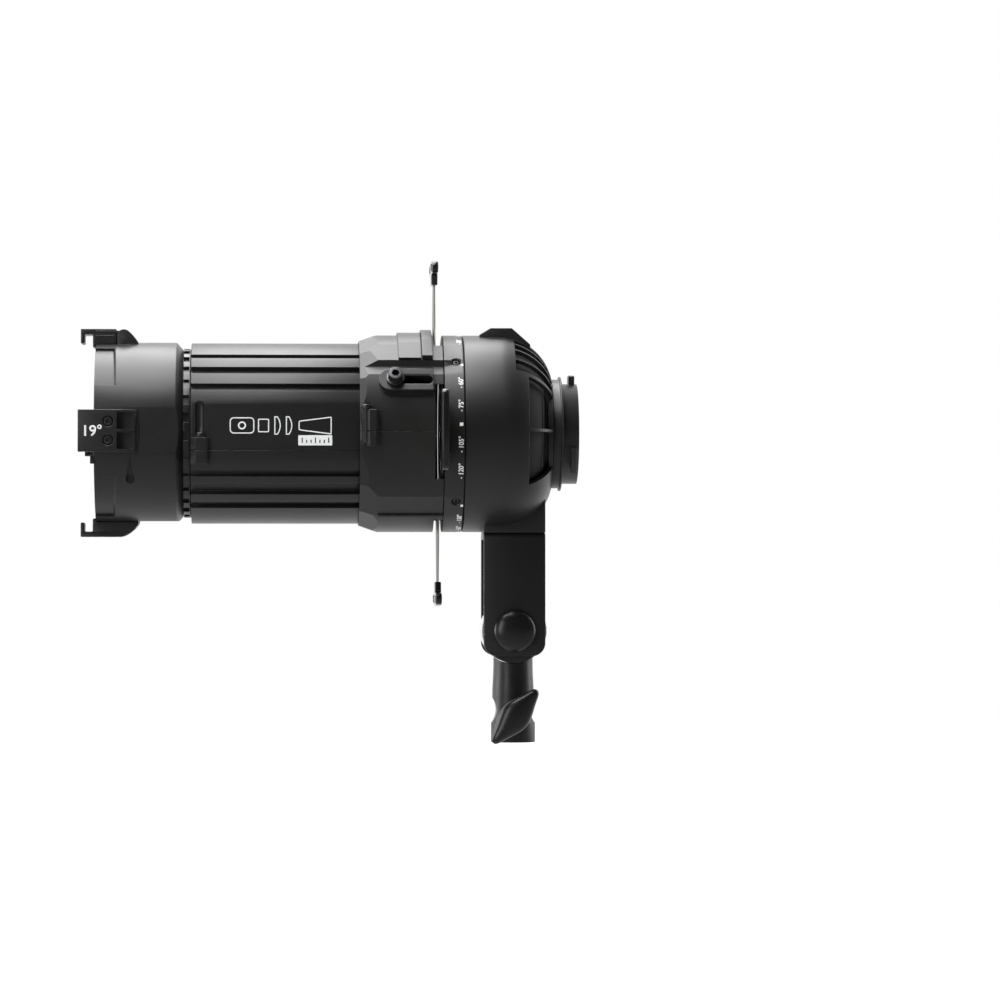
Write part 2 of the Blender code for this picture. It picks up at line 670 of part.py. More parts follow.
def make_retaining_ring(joint):
    done(ring("retaining_ring", SPIGOT_REAR + GAP, SPIGOT_REAR + 2.3, INDEX_BORE, 54.0, MEDIUM),
         "bright_alloy", joint)


def make_slot_cover(name, ends, slot, crown, joint):
    """Saddle cap over a slot in the gate's top, with a tongue that drops into the slot."""
    lift = crown - GATE_RADIUS
    corner = (27.0, math.sqrt(GATE_RADIUS ** 2 - 27.0 ** 2))
    hem = (40.8, 42.6)
    normal = (0.58, 0.815)

    def shifted(point, distance):
        return (point[0] + normal[0] * distance, point[1] + normal[1] * distance)

    start = math.degrees(math.acos(28.0 / crown))
    outer = [shifted(hem, lift)] + arc(crown, start, 180 - start, 11)
    outer += [(-shifted(hem, lift)[0], shifted(hem, lift)[1])]
    inner_corner = shifted(corner, GAP)
    inner_hem = shifted(hem, GAP)
    inner_radius = math.hypot(*inner_corner)
    start = math.degrees(math.atan2(inner_corner[1], inner_corner[0]))
    inner = [(-inner_hem[0], inner_hem[1])] + arc(inner_radius, 180 - start, start, 11) + [inner_hem]
    cover = prism(name, [outer + inner], ends[0], ends[1], SECTION_X)
    tongue = sector(TONGUE_RADIUS, GATE_RADIUS + 0.9, 65, 115, 7)
    join(cover, prism("tongue", [tongue], slot[0] + GAP, slot[1] - GAP, SECTION_X))
    done(cover, "cast_black", joint)


# ---------------------------------------------------------------- shutters

SHUTTER_OFFSETS = {"top": -1.65, "far": -0.55, "bottom": 0.55, "near": 1.65}
BLADE_THICKNESS = 0.6
HANDLE_THICKNESS = 3.8
HANDLE_FOOT = 88.8
HANDLE_TIP = 103.5


def make_shutter(side, joint):
    """Stainless blade in its own plane, with a moulded T handle pushed onto its end."""
    plane = SHUTTER_X + SHUTTER_OFFSETS[side]
    place = around_axis(SIDES[side]) @ SECTION_X
    right = [(27.0, 28.5), (27.0, 46.0), (19.0, 62.0), (12.5, HANDLE_FOOT - 0.4),
             (8.0, HANDLE_FOOT - 0.4), (8.0, HANDLE_FOOT + 5.0)]
    outline = right + [(-across, up) for across, up in reversed(right)]
    half = BLADE_THICKNESS / 2
    done(prism("shutter_blade_" + side, [outline], plane - half, plane + half, place),
         "stainless", joint, smooth=False)
    neck_half, grip_half, grip_low = 11.0, 23.5, HANDLE_FOOT + 6.6
    grip = [(neck_half - 0.5, HANDLE_FOOT), (neck_half, grip_low - 1.2)]
    grip += arc(2.2, -90, 0, 4, (grip_half - 2.2, grip_low + 2.2))
    grip += arc(3.6, 10, 75, 5, (grip_half - 4.0, HANDLE_TIP - 4.6))
    grip += [(8.0, HANDLE_TIP)]
    outline = grip + [(-across, up) for across, up in reversed(grip)]
    half = HANDLE_THICKNESS / 2
    handle = prism("shutter_handle_" + side, [outline], plane - half, plane + half, place)
    slot = [(-8.3, HANDLE_FOOT - 2), (8.3, HANDLE_FOOT - 2),
            (8.3, HANDLE_FOOT + 5.3), (-8.3, HANDLE_FOOT + 5.3)]
    cut(handle, prism("blade_slot", [slot], plane - 0.6, plane + 0.6, place))
    done(handle, "gloss_black", joint)


# ---------------------------------------------------------------- lens tube

def barrel_outline(side):
    """Ribbed half section of the barrel, side +1 for the upper shell and -1 for the lower."""
    split = BARREL_SPLIT + side * GAP / 2
    flat_top = math.sqrt(BARREL_RADIUS ** 2 - BARREL_FLAT ** 2)
    angle = math.degrees(math.asin(flat_top / BARREL_RADIUS))
    right = [(BARREL_FLAT, side * split), (BARREL_FLAT, flat_top)]
    for start, end in (UPPER_GROOVES if side > 0 else LOWER_GROOVES):
        right += arc(BARREL_RADIUS, angle, start, 3) + arc(GROOVE_RADIUS, start, end, 2)
        angle = end
    right += arc(BARREL_RADIUS, angle, 90, 6)
    outline = both_sides(right, BARREL_BORE, side * split)
    return [(across, side * up) for across, up in outline]


def make_barrel_shell(name, side, joint):
    shell = prism(name, [barrel_outline(side)], BARREL_FRONT, BARREL_REAR, SECTION_X)
    split = BARREL_SPLIT + side * GAP / 2
    ear = sorted((split, -3.7 if side > 0 else -19.4))
    for y_side in (-1, 1):
        across = sorted((y_side * 50.2, y_side * 55.6))
        join(shell, box("ear", (BARREL_FRONT, across[0], ear[0]), (BARREL_EAR_REAR, across[1], ear[1]),
                        OPTICAL_ORIGIN))
        place = OPTICAL_ORIGIN @ Matrix.Translation((BARREL_EAR_X * MM, y_side * BARREL_EAR_Y * MM, 0))
        cut(shell, rod("ear_hole", 1.6, -25, 0, SMALL, place))
        if side > 0:
            cut(shell, rod("tool_access", 3.0, -3.6, 17.0, COARSE, place))
    done(shell, "cast_black", joint)


def make_barrel_screws(joint):
    for name, y_side in (("barrel_screw_near", -1), ("barrel_screw_far", 1)):
        place = OPTICAL_ORIGIN @ Matrix.Translation((BARREL_EAR_X * MM, y_side * BARREL_EAR_Y * MM, 0))
        cap_screw(name, place, -3.4, 2.6, 2.6, 1.3, 14.6, joint)


def make_neck_ring(joint):
    profile = [(-208.0, NECK_BORE), (-208.0, HOOD_BORE - GAP), (-203.8, HOOD_BORE - GAP),
               (-203.8, NECK_RADIUS), (-197.2, NECK_RADIUS), (-197.2, 50.6), (-193.1, 50.6),
               (-193.1, BARREL_BORE - 0.4), (-184.0, BARREL_BORE - 0.4), (-184.0, NECK_BORE)]
    neck = turned("neck_ring", profile, FINE)
    teeth = 16
    notch_bodies = bmesh.new()
    for tooth in range(teeth):
        angle = Matrix.Rotation(2 * math.pi * (tooth + 0.5) / teeth, 4, "X")
        size = Matrix.Diagonal((3.2 * MM, 4.6 * MM, 3.0 * MM, 1))
        place = OPTICAL_ORIGIN @ angle @ Matrix.Translation((-195.4 * MM, 0, 50.6 * MM)) @ size
        bmesh.ops.create_cube(notch_bodies, size=1.0, matrix=place)
    mesh = bpy.data.meshes.new("notches")
    notch_bodies.to_mesh(mesh)
    notch_bodies.free()
    cut(neck, add_object("notches", mesh, Matrix.Identity(4)))
    done(neck, "moulded_black", joint)


def make_front_hood(joint):
    seat = FRONT_LENS_SEAT
    profile = [(HOOD_FRONT, HOOD_BORE), (HOOD_FRONT, HOOD_RADIUS - 0.5), (HOOD_FRONT + 0.5, HOOD_RADIUS),
               (-201.5, HOOD_RADIUS), (HOOD_REAR, 50.0), (HOOD_REAR, HOOD_LIP_RADIUS),
               (-203.4, HOOD_LIP_RADIUS), (-203.4, HOOD_BORE), (seat + 4.0, HOOD_BORE), (seat + 4.0, 46.0),
               (seat, 46.0), (seat, HOOD_BORE)]
    hood = turned("front_hood", profile, FINE)
    lug = arc(LATCH_LUG_RADIUS, 180, 50, 7, (LATCH_PIVOT_X, LATCH_PIVOT_R))
    lug += [(CLAW_REAR, 54.0), (CLAW_REAR, 51.5), (LATCH_PIVOT_X - LATCH_LUG_RADIUS, 51.5)]
    for low, high in ((-CLAW_HALF_WIDTH, -8.6), (8.6, CLAW_HALF_WIDTH)):
        join(hood, prism("latch_lug", [lug], low, high, PROFILE_Y))
    cut(hood, rod("pin_hole", 1.6, -20, 20, SMALL,
                  PROFILE_Y @ Matrix.Translation((LATCH_PIVOT_X * MM, LATCH_PIVOT_R * MM, 0))))
    for quarter in range(4):
        start = 30.0 if quarter % 2 == 0 else 23.0
        pad = sector(53.3, 60.0, 90 * quarter + start, 90 * quarter + start + 37.0, 6)
        cut(hood, prism("rim_pad", [pad], HOOD_FRONT - 1, -239.0, SECTION_X))
    for side in ("near", "bottom", "far"):
        for offset in (-CLAW_SCREW_OFFSET, CLAW_SCREW_OFFSET):
            place = around_axis(SIDES[side]) @ OPTICAL_ORIGIN
            place = place @ Matrix.Translation((CLAW_SCREW_X * MM, offset * MM, 0))
            cut(hood, rod("screw_hole", 1.5, 51.4, 60, 8, place))
    drop = [(-228.0, -16.0)] + arc(2.2, 10, -190, 7, (-228.0, -28.5))
    cut(hood, prism("drop_recess", [drop], 52.9, 60.0, PROFILE_Y))
    done(hood, "cast_black", joint)


def make_front_lens(joint):
    front, back = FRONT_LENS_SEAT - 5.5, FRONT_LENS_SEAT - GAP
    crown = 11.0
    face = [(front - crown * (1 - (radius / 47.0) ** 2), radius) for radius in (0, 12, 24, 36, 47)]
    lens = face + [(front, HOOD_BORE - 0.4), (back, HOOD_BORE - 0.4), (back, 0)]
    done(turned("front_lens", lens, MEDIUM), "optical_glass", joint)
    collar = ring("front_lens_ring", front - 4.0, front - GAP, 47.6, HOOD_BORE - 0.4, MEDIUM)
    done(collar, "cast_black", joint)


def make_rear_lens(joint):
    cell = [(-158.0, 45.3), (-158.0, BARREL_BORE - 0.4), (-142.0, BARREL_BORE - 0.4), (-142.0, 42.0),
            (-145.0, 42.0), (-145.0, 45.3)]
    done(turned("rear_lens_cell", cell, MEDIUM), "cast_black", joint)
    radii = (0, 14, 29, 43.0)
    back = [(-148.0 + 2.0 * (1 - (radius / 43.0) ** 2), radius) for radius in radii]
    front = [(-153.0 - 9.0 * (1 - (radius / 43.0) ** 2), radius) for radius in reversed(radii)]
    lens = back + [(-148.0, 45.0), (-153.0, 45.0)] + front
    done(turned("rear_lens", lens, MEDIUM), "optical_glass", joint)


CLAW_PROFILE = [(CLAW_FRONT, 53.4), (CLAW_FRONT, CLAW_RADIUS - 0.8), (CLAW_FRONT + 0.8, CLAW_RADIUS),
                (-233.3, CLAW_RADIUS), (CLAW_REAR, 54.9), (CLAW_REAR, 51.0), (CHANNEL_REAR, 51.0),
                (CHANNEL_REAR, CHANNEL_ROOF), (CHANNEL_FRONT, CHANNEL_ROOF), (CHANNEL_FRONT, 53.4)]


def hood_clearance():
    """The room that the hood takes, with its gap, for pieces that sit on it."""
    return turned("hood_room", [(HOOD_FRONT - GAP, 0), (HOOD_FRONT - GAP, HOOD_RADIUS + GAP),
                                (-215.0, HOOD_RADIUS + GAP), (-215.0, 0)], FINE)


def make_claw(side, joint):
    place = around_axis(SIDES[side])
    claw = prism("claw_" + side, [CLAW_PROFILE], -CLAW_HALF_WIDTH, CLAW_HALF_WIDTH, place @ PROFILE_Y)
    cut(claw, hood_clearance())
    for index, offset in enumerate((-CLAW_SCREW_OFFSET, CLAW_SCREW_OFFSET)):
        axis = place @ OPTICAL_ORIGIN @ Matrix.Translation((CLAW_SCREW_X * MM, offset * MM, 0))
        cut(claw, rod("counterbore", 3.1, 59.4, 65.0, SMALL, axis),
            rod("screw_hole", 1.6, 50.0, 60.0, 8, axis))
        cap_screw("claw_screw_%s_%d" % (side, index + 1), axis, 59.4 + GAP, 2.7, 1.9, 1.2, 7.4, joint)
    for low in (-10.4, 1.5):
        cut(claw, box("pocket", (-236.2, low, 56.2), (CLAW_REAR + 3, low + 8.9, 70.0),
                      place @ OPTICAL_ORIGIN))
    done(claw, "cast_black", joint)


def make_frame_latch(joint, tube_joint):
    profile = [point for point in CLAW_PROFILE if point[0] < -235]
    profile = profile[:3] + [(-237.4, CLAW_RADIUS), (-237.4, 51.0)] + profile[3:]
    latch = prism("frame_latch", [profile], -CLAW_HALF_WIDTH, CLAW_HALF_WIDTH, PROFILE_Y)
    knuckle = arc(3.2, -90, 90, 8, (LATCH_PIVOT_X, LATCH_PIVOT_R))
    knuckle += [(-240.0, LATCH_PIVOT_R + 3.2), (-240.0, LATCH_PIVOT_R - 3.2)]
    join(latch, prism("knuckle", [knuckle], -8.2, 8.2, PROFILE_Y))
    cut(latch, hood_clearance())
    pin_place = PROFILE_Y @ Matrix.Translation((LATCH_PIVOT_X * MM, LATCH_PIVOT_R * MM, 0))
    cut(latch, rod("pin_hole", 1.6, -20, 20, SMALL, pin_place))
    for across in (-6.1, 4.9):
        cut(latch, box("groove", (-249.0, across, CLAW_RADIUS - 0.7), (-239.5, across + 1.2, 70.0),
                       OPTICAL_ORIGIN))
    done(latch, "cast_black", joint)
    done(rod("latch_pin", 1.3, -12.2, 12.2, SMALL, pin_place), "bright_alloy", tube_joint)


def focus_frame():
    """Optical axis turned so that local Z points out along the focus rail."""
    return around_axis(90 - FOCUS_ELEVATION) @ OPTICAL_ORIGIN


def make_focus_arm(joint):
    profile = [(-100.0, 44.5), (-100.0, 48.4), (-85.6, 48.4), (-85.6, 53.3), (-69.0, 53.3), (-69.0, 44.5)]
    arm = prism("focus_arm", [profile], -6.2, 6.2, around_axis(90 - FOCUS_ELEVATION) @ PROFILE_Y)
    hole = focus_frame() @ Matrix.Translation((FOCUS_SCREW_X * MM, 0, 0))
    cut(arm, rod("thread", 2.8, 40.0, 60.0, SMALL, hole))
    done(arm, "bright_alloy", joint)


def make_focus_screw(joint):
    """Cap screw with a collar that bears on the rail."""
    place = focus_frame() @ Matrix.Translation((FOCUS_SCREW_X * MM, 0, 0))
    collar = RAIL_TOP + GAP
    profile = [(46.0, 0), (46.0, 2.4), (collar, 2.4), (collar, 5.4),
               (collar + 1.6, 5.4), (collar + 1.6, 4.25),
               (collar + 6.2, 4.25), (collar + 6.6, 3.9), (collar + 6.6, 0)]
    screw = turned("focus_lock_screw", profile, COARSE, place)
    cut(screw, rod("screw_socket", 2.3, collar + 3.6, collar + 9.0, 6, place))
    done(screw, "screw_black", joint)


# ---------------------------------------------------------------- the assembly

def build():
    focus_out = (FOCUS_SCREW_X, -RAIL_TOP * math.cos(math.radians(FOCUS_ELEVATION)),
                 AXIS_Z + RAIL_TOP * math.sin(math.radians(FOCUS_ELEVATION)))
    stand = joint_empty("stand_origin", (0, 0, 0))
    head = joint_empty("tilt_joint", (0, 0, TILT_Z), stand)
    gate = joint_empty("rotation_joint", (INDEX_REAR, 0, AXIS_Z), head)
    tube = joint_empty("focus_joint", (BARREL_REAR, 0, AXIS_Z), gate)
    latch = joint_empty("latch_joint", (LATCH_PIVOT_X, 0, AXIS_Z + LATCH_PIVOT_R), tube)
    focus_screw = joint_empty("focus_screw_joint", focus_out, tube)
    clamp = joint_empty("clamp_joint", (0, 0, CLAMP_Z), stand)
    tilt_lock = joint_empty("tilt_lock_joint", (0, 0, TILT_Z), stand)

    make_stand_receiver(stand)
    make_tilt_knuckle(stand)
    make_tilt_bolt(stand)
    make_clamp_knob(clamp)
    make_tilt_lock_knob(tilt_lock)

    make_u_bracket(head)
    make_bracket_screws(head)
    make_tilt_cap(head)
    make_rear_housing(head)
    make_mount_tube(head)
    make_condenser(head)
    make_bearing_ring(head)

    make_gate_shell("gate_upper_shell", 1, gate)
    make_gate_shell("gate_lower_shell", -1, gate)
    make_gate_screws(gate)
    make_gate_plates(gate)
    make_index_ring(gate)
    make_retaining_ring(gate)
    covers = (("gobo_cover", GOBO_COVER, GOBO_SLOT, 60.7), ("iris_cover", IRIS_COVER, IRIS_SLOT, 62.4))
    for name, ends, slot, crown in covers:
        joint = joint_empty(name + "_joint", (ends[0], 0, AXIS_Z + crown), gate)
        make_slot_cover(name, ends, slot, crown, joint)
    for side, turn in SIDES.items():
        angle = math.radians(turn)
        place = (SHUTTER_X, -APERTURE * math.sin(angle), AXIS_Z + APERTURE * math.cos(angle))
        make_shutter(side, joint_empty("shutter_joint_" + side, place, gate))

    make_barrel_shell("barrel_upper_shell", 1, tube)
    make_barrel_shell("barrel_lower_shell", -1, tube)
    make_barrel_screws(tube)
    make_neck_ring(tube)
    make_front_hood(tube)
    make_front_lens(tube)
    make_rear_lens(tube)
    for side in ("near", "bottom", "far"):
        make_claw(side, tube)
    make_frame_latch(latch, tube)
    make_focus_arm(tube)
    make_focus_screw(focus_screw)


clear_scene()
PARTS = new_collection("ellipsoidal_spotlight")
CUTTERS = new_collection("cutters")
JOINTS = new_collection("joints")
build()
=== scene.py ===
"""Looks of the ellipsoidal spotlight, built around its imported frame.

Lengths are in millimetres and angles in degrees.  The beam leaves towards -X and the near side is -Y.
A turned or sectioned piece on the optical axis is described by its place along X and its distance
from the axis.  Places come from the boxes of the CAD nodes, the joints and the openings of the record.
"""
import json
import math

import bmesh
import bpy
from mathutils import Matrix, Vector


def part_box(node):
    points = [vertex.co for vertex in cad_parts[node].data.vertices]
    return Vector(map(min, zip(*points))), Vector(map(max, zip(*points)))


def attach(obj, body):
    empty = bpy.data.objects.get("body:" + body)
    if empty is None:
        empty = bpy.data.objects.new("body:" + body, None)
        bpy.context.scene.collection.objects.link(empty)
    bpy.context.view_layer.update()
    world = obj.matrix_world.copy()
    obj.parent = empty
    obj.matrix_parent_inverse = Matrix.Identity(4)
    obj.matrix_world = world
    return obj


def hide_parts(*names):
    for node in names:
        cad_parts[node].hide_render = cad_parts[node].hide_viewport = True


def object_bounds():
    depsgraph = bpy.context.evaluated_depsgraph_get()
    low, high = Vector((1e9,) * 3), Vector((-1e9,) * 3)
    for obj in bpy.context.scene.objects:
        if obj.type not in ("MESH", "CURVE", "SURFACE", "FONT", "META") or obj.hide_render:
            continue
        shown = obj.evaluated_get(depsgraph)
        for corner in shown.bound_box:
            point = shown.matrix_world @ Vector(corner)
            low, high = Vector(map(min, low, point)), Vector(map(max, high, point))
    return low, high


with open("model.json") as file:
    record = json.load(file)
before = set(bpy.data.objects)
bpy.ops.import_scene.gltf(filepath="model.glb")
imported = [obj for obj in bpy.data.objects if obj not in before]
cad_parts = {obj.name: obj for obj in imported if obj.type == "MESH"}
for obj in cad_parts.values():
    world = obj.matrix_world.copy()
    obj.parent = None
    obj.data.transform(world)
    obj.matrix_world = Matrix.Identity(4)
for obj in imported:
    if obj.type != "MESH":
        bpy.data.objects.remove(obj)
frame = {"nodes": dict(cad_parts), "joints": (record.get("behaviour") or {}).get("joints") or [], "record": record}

CAD_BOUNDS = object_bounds()

MM = 0.001
GAP = 0.3                    # clearance between pieces that touch
STEPS = 144                  # sides of a large round piece
SMALL_STEPS = 48             # sides of a small round piece
PRINT_THICKNESS = 0.12
RECORD = frame["record"]
BODY_OF = {node: body for body, nodes in RECORD["behaviour"]["bodies"].items() for node in nodes}
JOINTS = {joint["name"]: joint for joint in frame["joints"]}
OPENINGS = {opening["name"]: opening["box_m"] for opening in RECORD["physics"]["openings"]}


class Extent:
    """Box of a CAD node, in millimetres."""

    def __init__(self, node):
        low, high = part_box(node)
        self.x0, self.y0, self.z0 = (value / MM for value in low)
        self.x1, self.y1, self.z1 = (value / MM for value in high)
        self.middle = ((self.x0 + self.x1) / 2, (self.y0 + self.y1) / 2, (self.z0 + self.z1) / 2)


def joint_place(name):
    return [value / MM for value in JOINTS[name]["pos_m"]]


# ---------------------------------------------------------------- sizes read from the frame

AXIS_Z = joint_place("barrel_rotation")[2]
TILT_Z = joint_place("tilt")[2]
CLAMP_Z = joint_place("clamp_screw")[2]
LATCH_X, _, LATCH_Z = joint_place("frame_latch_hinge")
LATCH_R = LATCH_Z - AXIS_Z
HOOD = Extent("front_hood")
HOOD_RADIUS = HOOD.y1
HOOD_BORE = HOOD_RADIUS - 4.0
CLAW = Extent("claw_near")
CLAW_RADIUS = -CLAW.y0
CLAW_HALF = (CLAW.z1 - CLAW.z0) / 2
CLAW_SCREW_X = Extent("claw_screw_near_1").middle[0]
CLAW_SCREW_OFFSETS = (-5.5, 5.5)
CHANNEL = [corner[0] / MM for corner in OPENINGS["accessory_frame_slot"]]
LENS = Extent("front_lens")
NECK = Extent("neck_ring")
BARREL = Extent("barrel_upper_shell")
BARREL_RADIUS = BARREL.z1 - AXIS_Z
BARREL_BORE = BARREL_RADIUS - 4.7
BARREL_FLAT = BARREL_RADIUS - 2.5
BARREL_SPLIT = BARREL.z0 - AXIS_Z
GATE = Extent("gate_upper_shell")
GATE_RADIUS = GATE.z1 - AXIS_Z
GATE_BORE = GATE_RADIUS - 4.7
GATE_SIDE = GATE_RADIUS - 3.5
INDEX = Extent("index_ring")
INDEX_RADIUS = INDEX.z1 - AXIS_Z
HOUSING = Extent("rear_housing")
TUBE = Extent("mount_tube")
BRACKET = Extent("u_bracket")
KNUCKLE = Extent("tilt_knuckle")
STEM = Extent("stand_receiver")
FOCUS_PLACE = joint_place("focus_lock")
FOCUS_AXIS = Vector(JOINTS["focus_lock"]["axis"])
FOCUS_ELEVATION = math.degrees(math.asin(FOCUS_AXIS.z))
RAIL_TOP = math.hypot(FOCUS_PLACE[1], FOCUS_PLACE[2] - AXIS_Z)

SIDES = {"top": 0.0, "near": 90.0, "bottom": 180.0, "far": 270.0}

# ---------------------------------------------------------------- placing


def shift(along, across=0.0, up=0.0):
    """Move by millimetres."""
    return Matrix.Translation((along * MM, across * MM, up * MM))


OPTICAL_ORIGIN = shift(0, 0, AXIS_Z)
TURN_X = OPTICAL_ORIGIN @ Matrix.Rotation(math.pi / 2, 4, "Y")
SECTION_X = OPTICAL_ORIGIN @ Matrix(((0, 0, 1, 0), (1, 0, 0, 0), (0, 1, 0, 0), (0, 0, 0, 1)))
PROFILE_Y = OPTICAL_ORIGIN @ Matrix.Rotation(math.pi / 2, 4, "X")
STAND_Y = Matrix.Rotation(math.pi / 2, 4, "X")
TILT_Y = shift(0, 0, TILT_Z) @ STAND_Y
CLAMP_Y = shift(0, 0, CLAMP_Z) @ STAND_Y


def around_axis(degrees):
    """Turn about the optical axis: 0 stays on top and 90 goes to the near side."""
    turn = Matrix.Rotation(math.radians(degrees), 4, "X")
    return OPTICAL_ORIGIN @ turn @ OPTICAL_ORIGIN.inverted()


def pointing(point, direction):
    """Place whose local Z points along a direction from a point in millimetres."""
    turn = Vector(direction).to_track_quat("Z", "Y").to_matrix().to_4x4()
    return shift(*point) @ turn


FOCUS_FRAME = around_axis(90 - FOCUS_ELEVATION) @ OPTICAL_ORIGIN


# ---------------------------------------------------------------- outlines

def arc(radius, start, end, count, centre=(0.0, 0.0)):
    points = []
    for step in range(count):
        angle = math.radians(start + (end - start) * step / (count - 1))
        points.append((centre[0] + radius * math.cos(angle), centre[1] + radius * math.sin(angle)))
    return points


def curve_to(start, corner, end, count=9):
    """Quadratic curve from start to end, pulled towards the corner."""
    points = []
    for step in range(count):
        t = step / (count - 1)
        knots = list(zip(((1 - t) ** 2, 2 * t * (1 - t), t ** 2), (start, corner, end)))
        points.append(tuple(sum(weight * knot[axis] for weight, knot in knots) for axis in (0, 1)))
    return points


def mirrored(right):
    """Whole outline from its right half, whose ends are joined across the middle."""
    return right + [(-across, up) for across, up in reversed(right)]


def sector(inner, outer, start, end, count=16):
    return arc(outer, start, end, count) + arc(inner, end, start, count)


def stadium(radius, front, rear, count=24):
    """Round-ended outline; front and rear are the centres of its ends."""
    return arc(radius, 90, 270, count, (front, 0)) + arc(radius, -90, 90, count, (rear, 0))


def without_repeats(points):
    kept = []
    for point in points:
        if not kept or math.dist(point, kept[-1]) > 0.01:
            kept.append(point)
    if math.dist(kept[0], kept[-1]) < 0.01:
        kept.pop()
    return kept


def eased(points, size, closed=True):
    """The outline with each corner replaced by a short round of about the given size."""
    points = [Vector(point) for point in points]
    result = []
    for index, corner in enumerate(points):
        before = points[index - 1] - corner
        after = points[(index + 1) % len(points)] - corner
        at_end = not closed and index in (0, len(points) - 1)
        if at_end or before.angle(after) > math.radians(165):
            result.append(corner)
            continue
        reach = min(size, before.length * 0.45, after.length * 0.45)
        first = corner + before.normalized() * reach
        last = corner + after.normalized() * reach
        result += [first, (first + last) / 4 + corner / 2, last]
    return [tuple(point) for point in result]


# ---------------------------------------------------------------- making meshes

def add_object(name, mesh, place):
    obj = bpy.data.objects.new(name, mesh)
    obj.matrix_world = place
    bpy.context.scene.collection.objects.link(obj)
    return obj


def mesh_object(name, bm, place=Matrix.Identity(4)):
    bmesh.ops.recalc_face_normals(bm, faces=bm.faces)
    mesh = bpy.data.meshes.new(name)
    bm.to_mesh(mesh)
    bm.free()
    return add_object(name, mesh, place)


def evaluated_mesh(obj):
    graph = bpy.context.evaluated_depsgraph_get()
    return bpy.data.meshes.new_from_object(obj.evaluated_get(graph))


def skin(bm, rings, sides):
    """Faces between neighbouring rings of vertices; a ring of one vertex is a tip."""
    for first, second in zip(rings, rings[1:]):
        for step in range(sides):
            after = (step + 1) % sides
            corners = [first[step % len(first)], first[after % len(first)],
                       second[after % len(second)], second[step % len(second)]]
            corners = list(dict.fromkeys(corners))
            if len(corners) > 2:
                bm.faces.new(corners)


def lathe(name, profile, place=TURN_X, steps=STEPS, ease=0.25):
    """Solid of revolution about the placed Z axis; the profile's points are (along, radius).
    It is closed across its ends unless both lie on the axis."""
    on_axis = profile[0][1] == 0
    outline = eased(without_repeats(profile), ease, closed=not on_axis)
    bm = bmesh.new()
    rings = []
    for along, radius in outline:
        sides = steps if radius > 0.001 else 1
        angles = [2 * math.pi * step / steps for step in range(sides)]
        rings.append([bm.verts.new((radius * math.cos(a) * MM, radius * math.sin(a) * MM, along * MM))
                      for a in angles])
    skin(bm, rings if on_axis else rings + rings[:1], steps)
    return mesh_object(name, bm, place)


def prism(name, outlines, low, high, place, edge=0.25):
    """Flat outline extruded along the placed Z axis with rounded rims; further outlines are holes."""
    curve = bpy.data.curves.new(name, "CURVE")
    curve.dimensions = "2D"
    curve.fill_mode = "BOTH"
    curve.bevel_depth = edge * MM
    curve.bevel_resolution = 1
    curve.offset = -edge * MM
    curve.extrude = ((high - low) / 2 - edge) * MM
    for outline in outlines:
        points = without_repeats(outline)
        spline = curve.splines.new("POLY")
        spline.points.add(len(points) - 1)
        for knot, (across, up) in zip(spline.points, points):
            knot.co = (across * MM, up * MM, 0, 1)
        spline.use_cyclic_u = True
    obj = add_object(name + "_outline", curve, place @ shift(0, 0, (low + high) / 2))
    bm = bmesh.new()
    bm.from_mesh(evaluated_mesh(obj))
    bmesh.ops.remove_doubles(bm, verts=bm.verts, dist=0.000001)
    place = obj.matrix_world.copy()
    bpy.data.objects.remove(obj, do_unlink=True)
    return mesh_object(name, bm, place)


def block(name, low, high, place=OPTICAL_ORIGIN, edge=0.0):
    """Box between two corners, with rounded edges if asked."""
    bm = bmesh.new()
    bmesh.ops.create_cube(bm, size=1.0)
    bmesh.ops.scale(bm, vec=[(b - a) * MM for a, b in zip(low, high)], verts=bm.verts)
    if edge:
        bmesh.ops.bevel(bm, geom=bm.edges[:], offset=edge * MM, segments=2, profile=0.5, affect="EDGES")
    return mesh_object(name, bm, place @ shift(*[(a + b) / 2 for a, b in zip(low, high)]))


def rod(name, radius, low, high, place, steps=SMALL_STEPS, ease=0.0):
    return lathe(name, [(low, 0), (low, radius), (high, radius), (high, 0)], place, steps, ease)


def curved_block(name, corners, inner, outer, flare=0.0, steps=12):
    """Slab of a round wall: corners are (front X, rear X, degrees) at its start and at its end.
    The flare makes its rear end slope back over its thickness."""
    (front_a, rear_a, start), (front_b, rear_b, end) = corners
    bm = bmesh.new()
    loops = []
    for step in range(steps + 1):
        share = step / steps
        angle = math.radians(start + (end - start) * share)
        front = front_a + (front_b - front_a) * share
        rear = rear_a + (rear_b - rear_a) * share
        loops.append([bm.verts.new((x * MM, r * math.cos(angle) * MM, r * math.sin(angle) * MM))
                      for x, r in ((front, inner), (rear, inner), (rear + flare, outer), (front, outer))])
    skin(bm, loops, 4)
    bm.faces.new(loops[0])
    bm.faces.new(loops[-1])
    return mesh_object(name, bm, OPTICAL_ORIGIN)


def close_slits(mesh):
    """Weld the hair-thin slits a cut can leave along its edge."""
    bm = bmesh.new()
    bm.from_mesh(mesh)
    slits = [edge for edge in bm.edges if len(edge.link_faces) == 1]
    if slits:
        corners = list({vert for edge in slits for vert in edge.verts})
        bmesh.ops.remove_doubles(bm, verts=corners, dist=0.00001)
        slits = [edge for edge in bm.edges if len(edge.link_faces) == 1]
        bmesh.ops.holes_fill(bm, edges=slits, sides=12)
        bmesh.ops.recalc_face_normals(bm, faces=bm.faces)
        bm.to_mesh(mesh)
    bm.free()


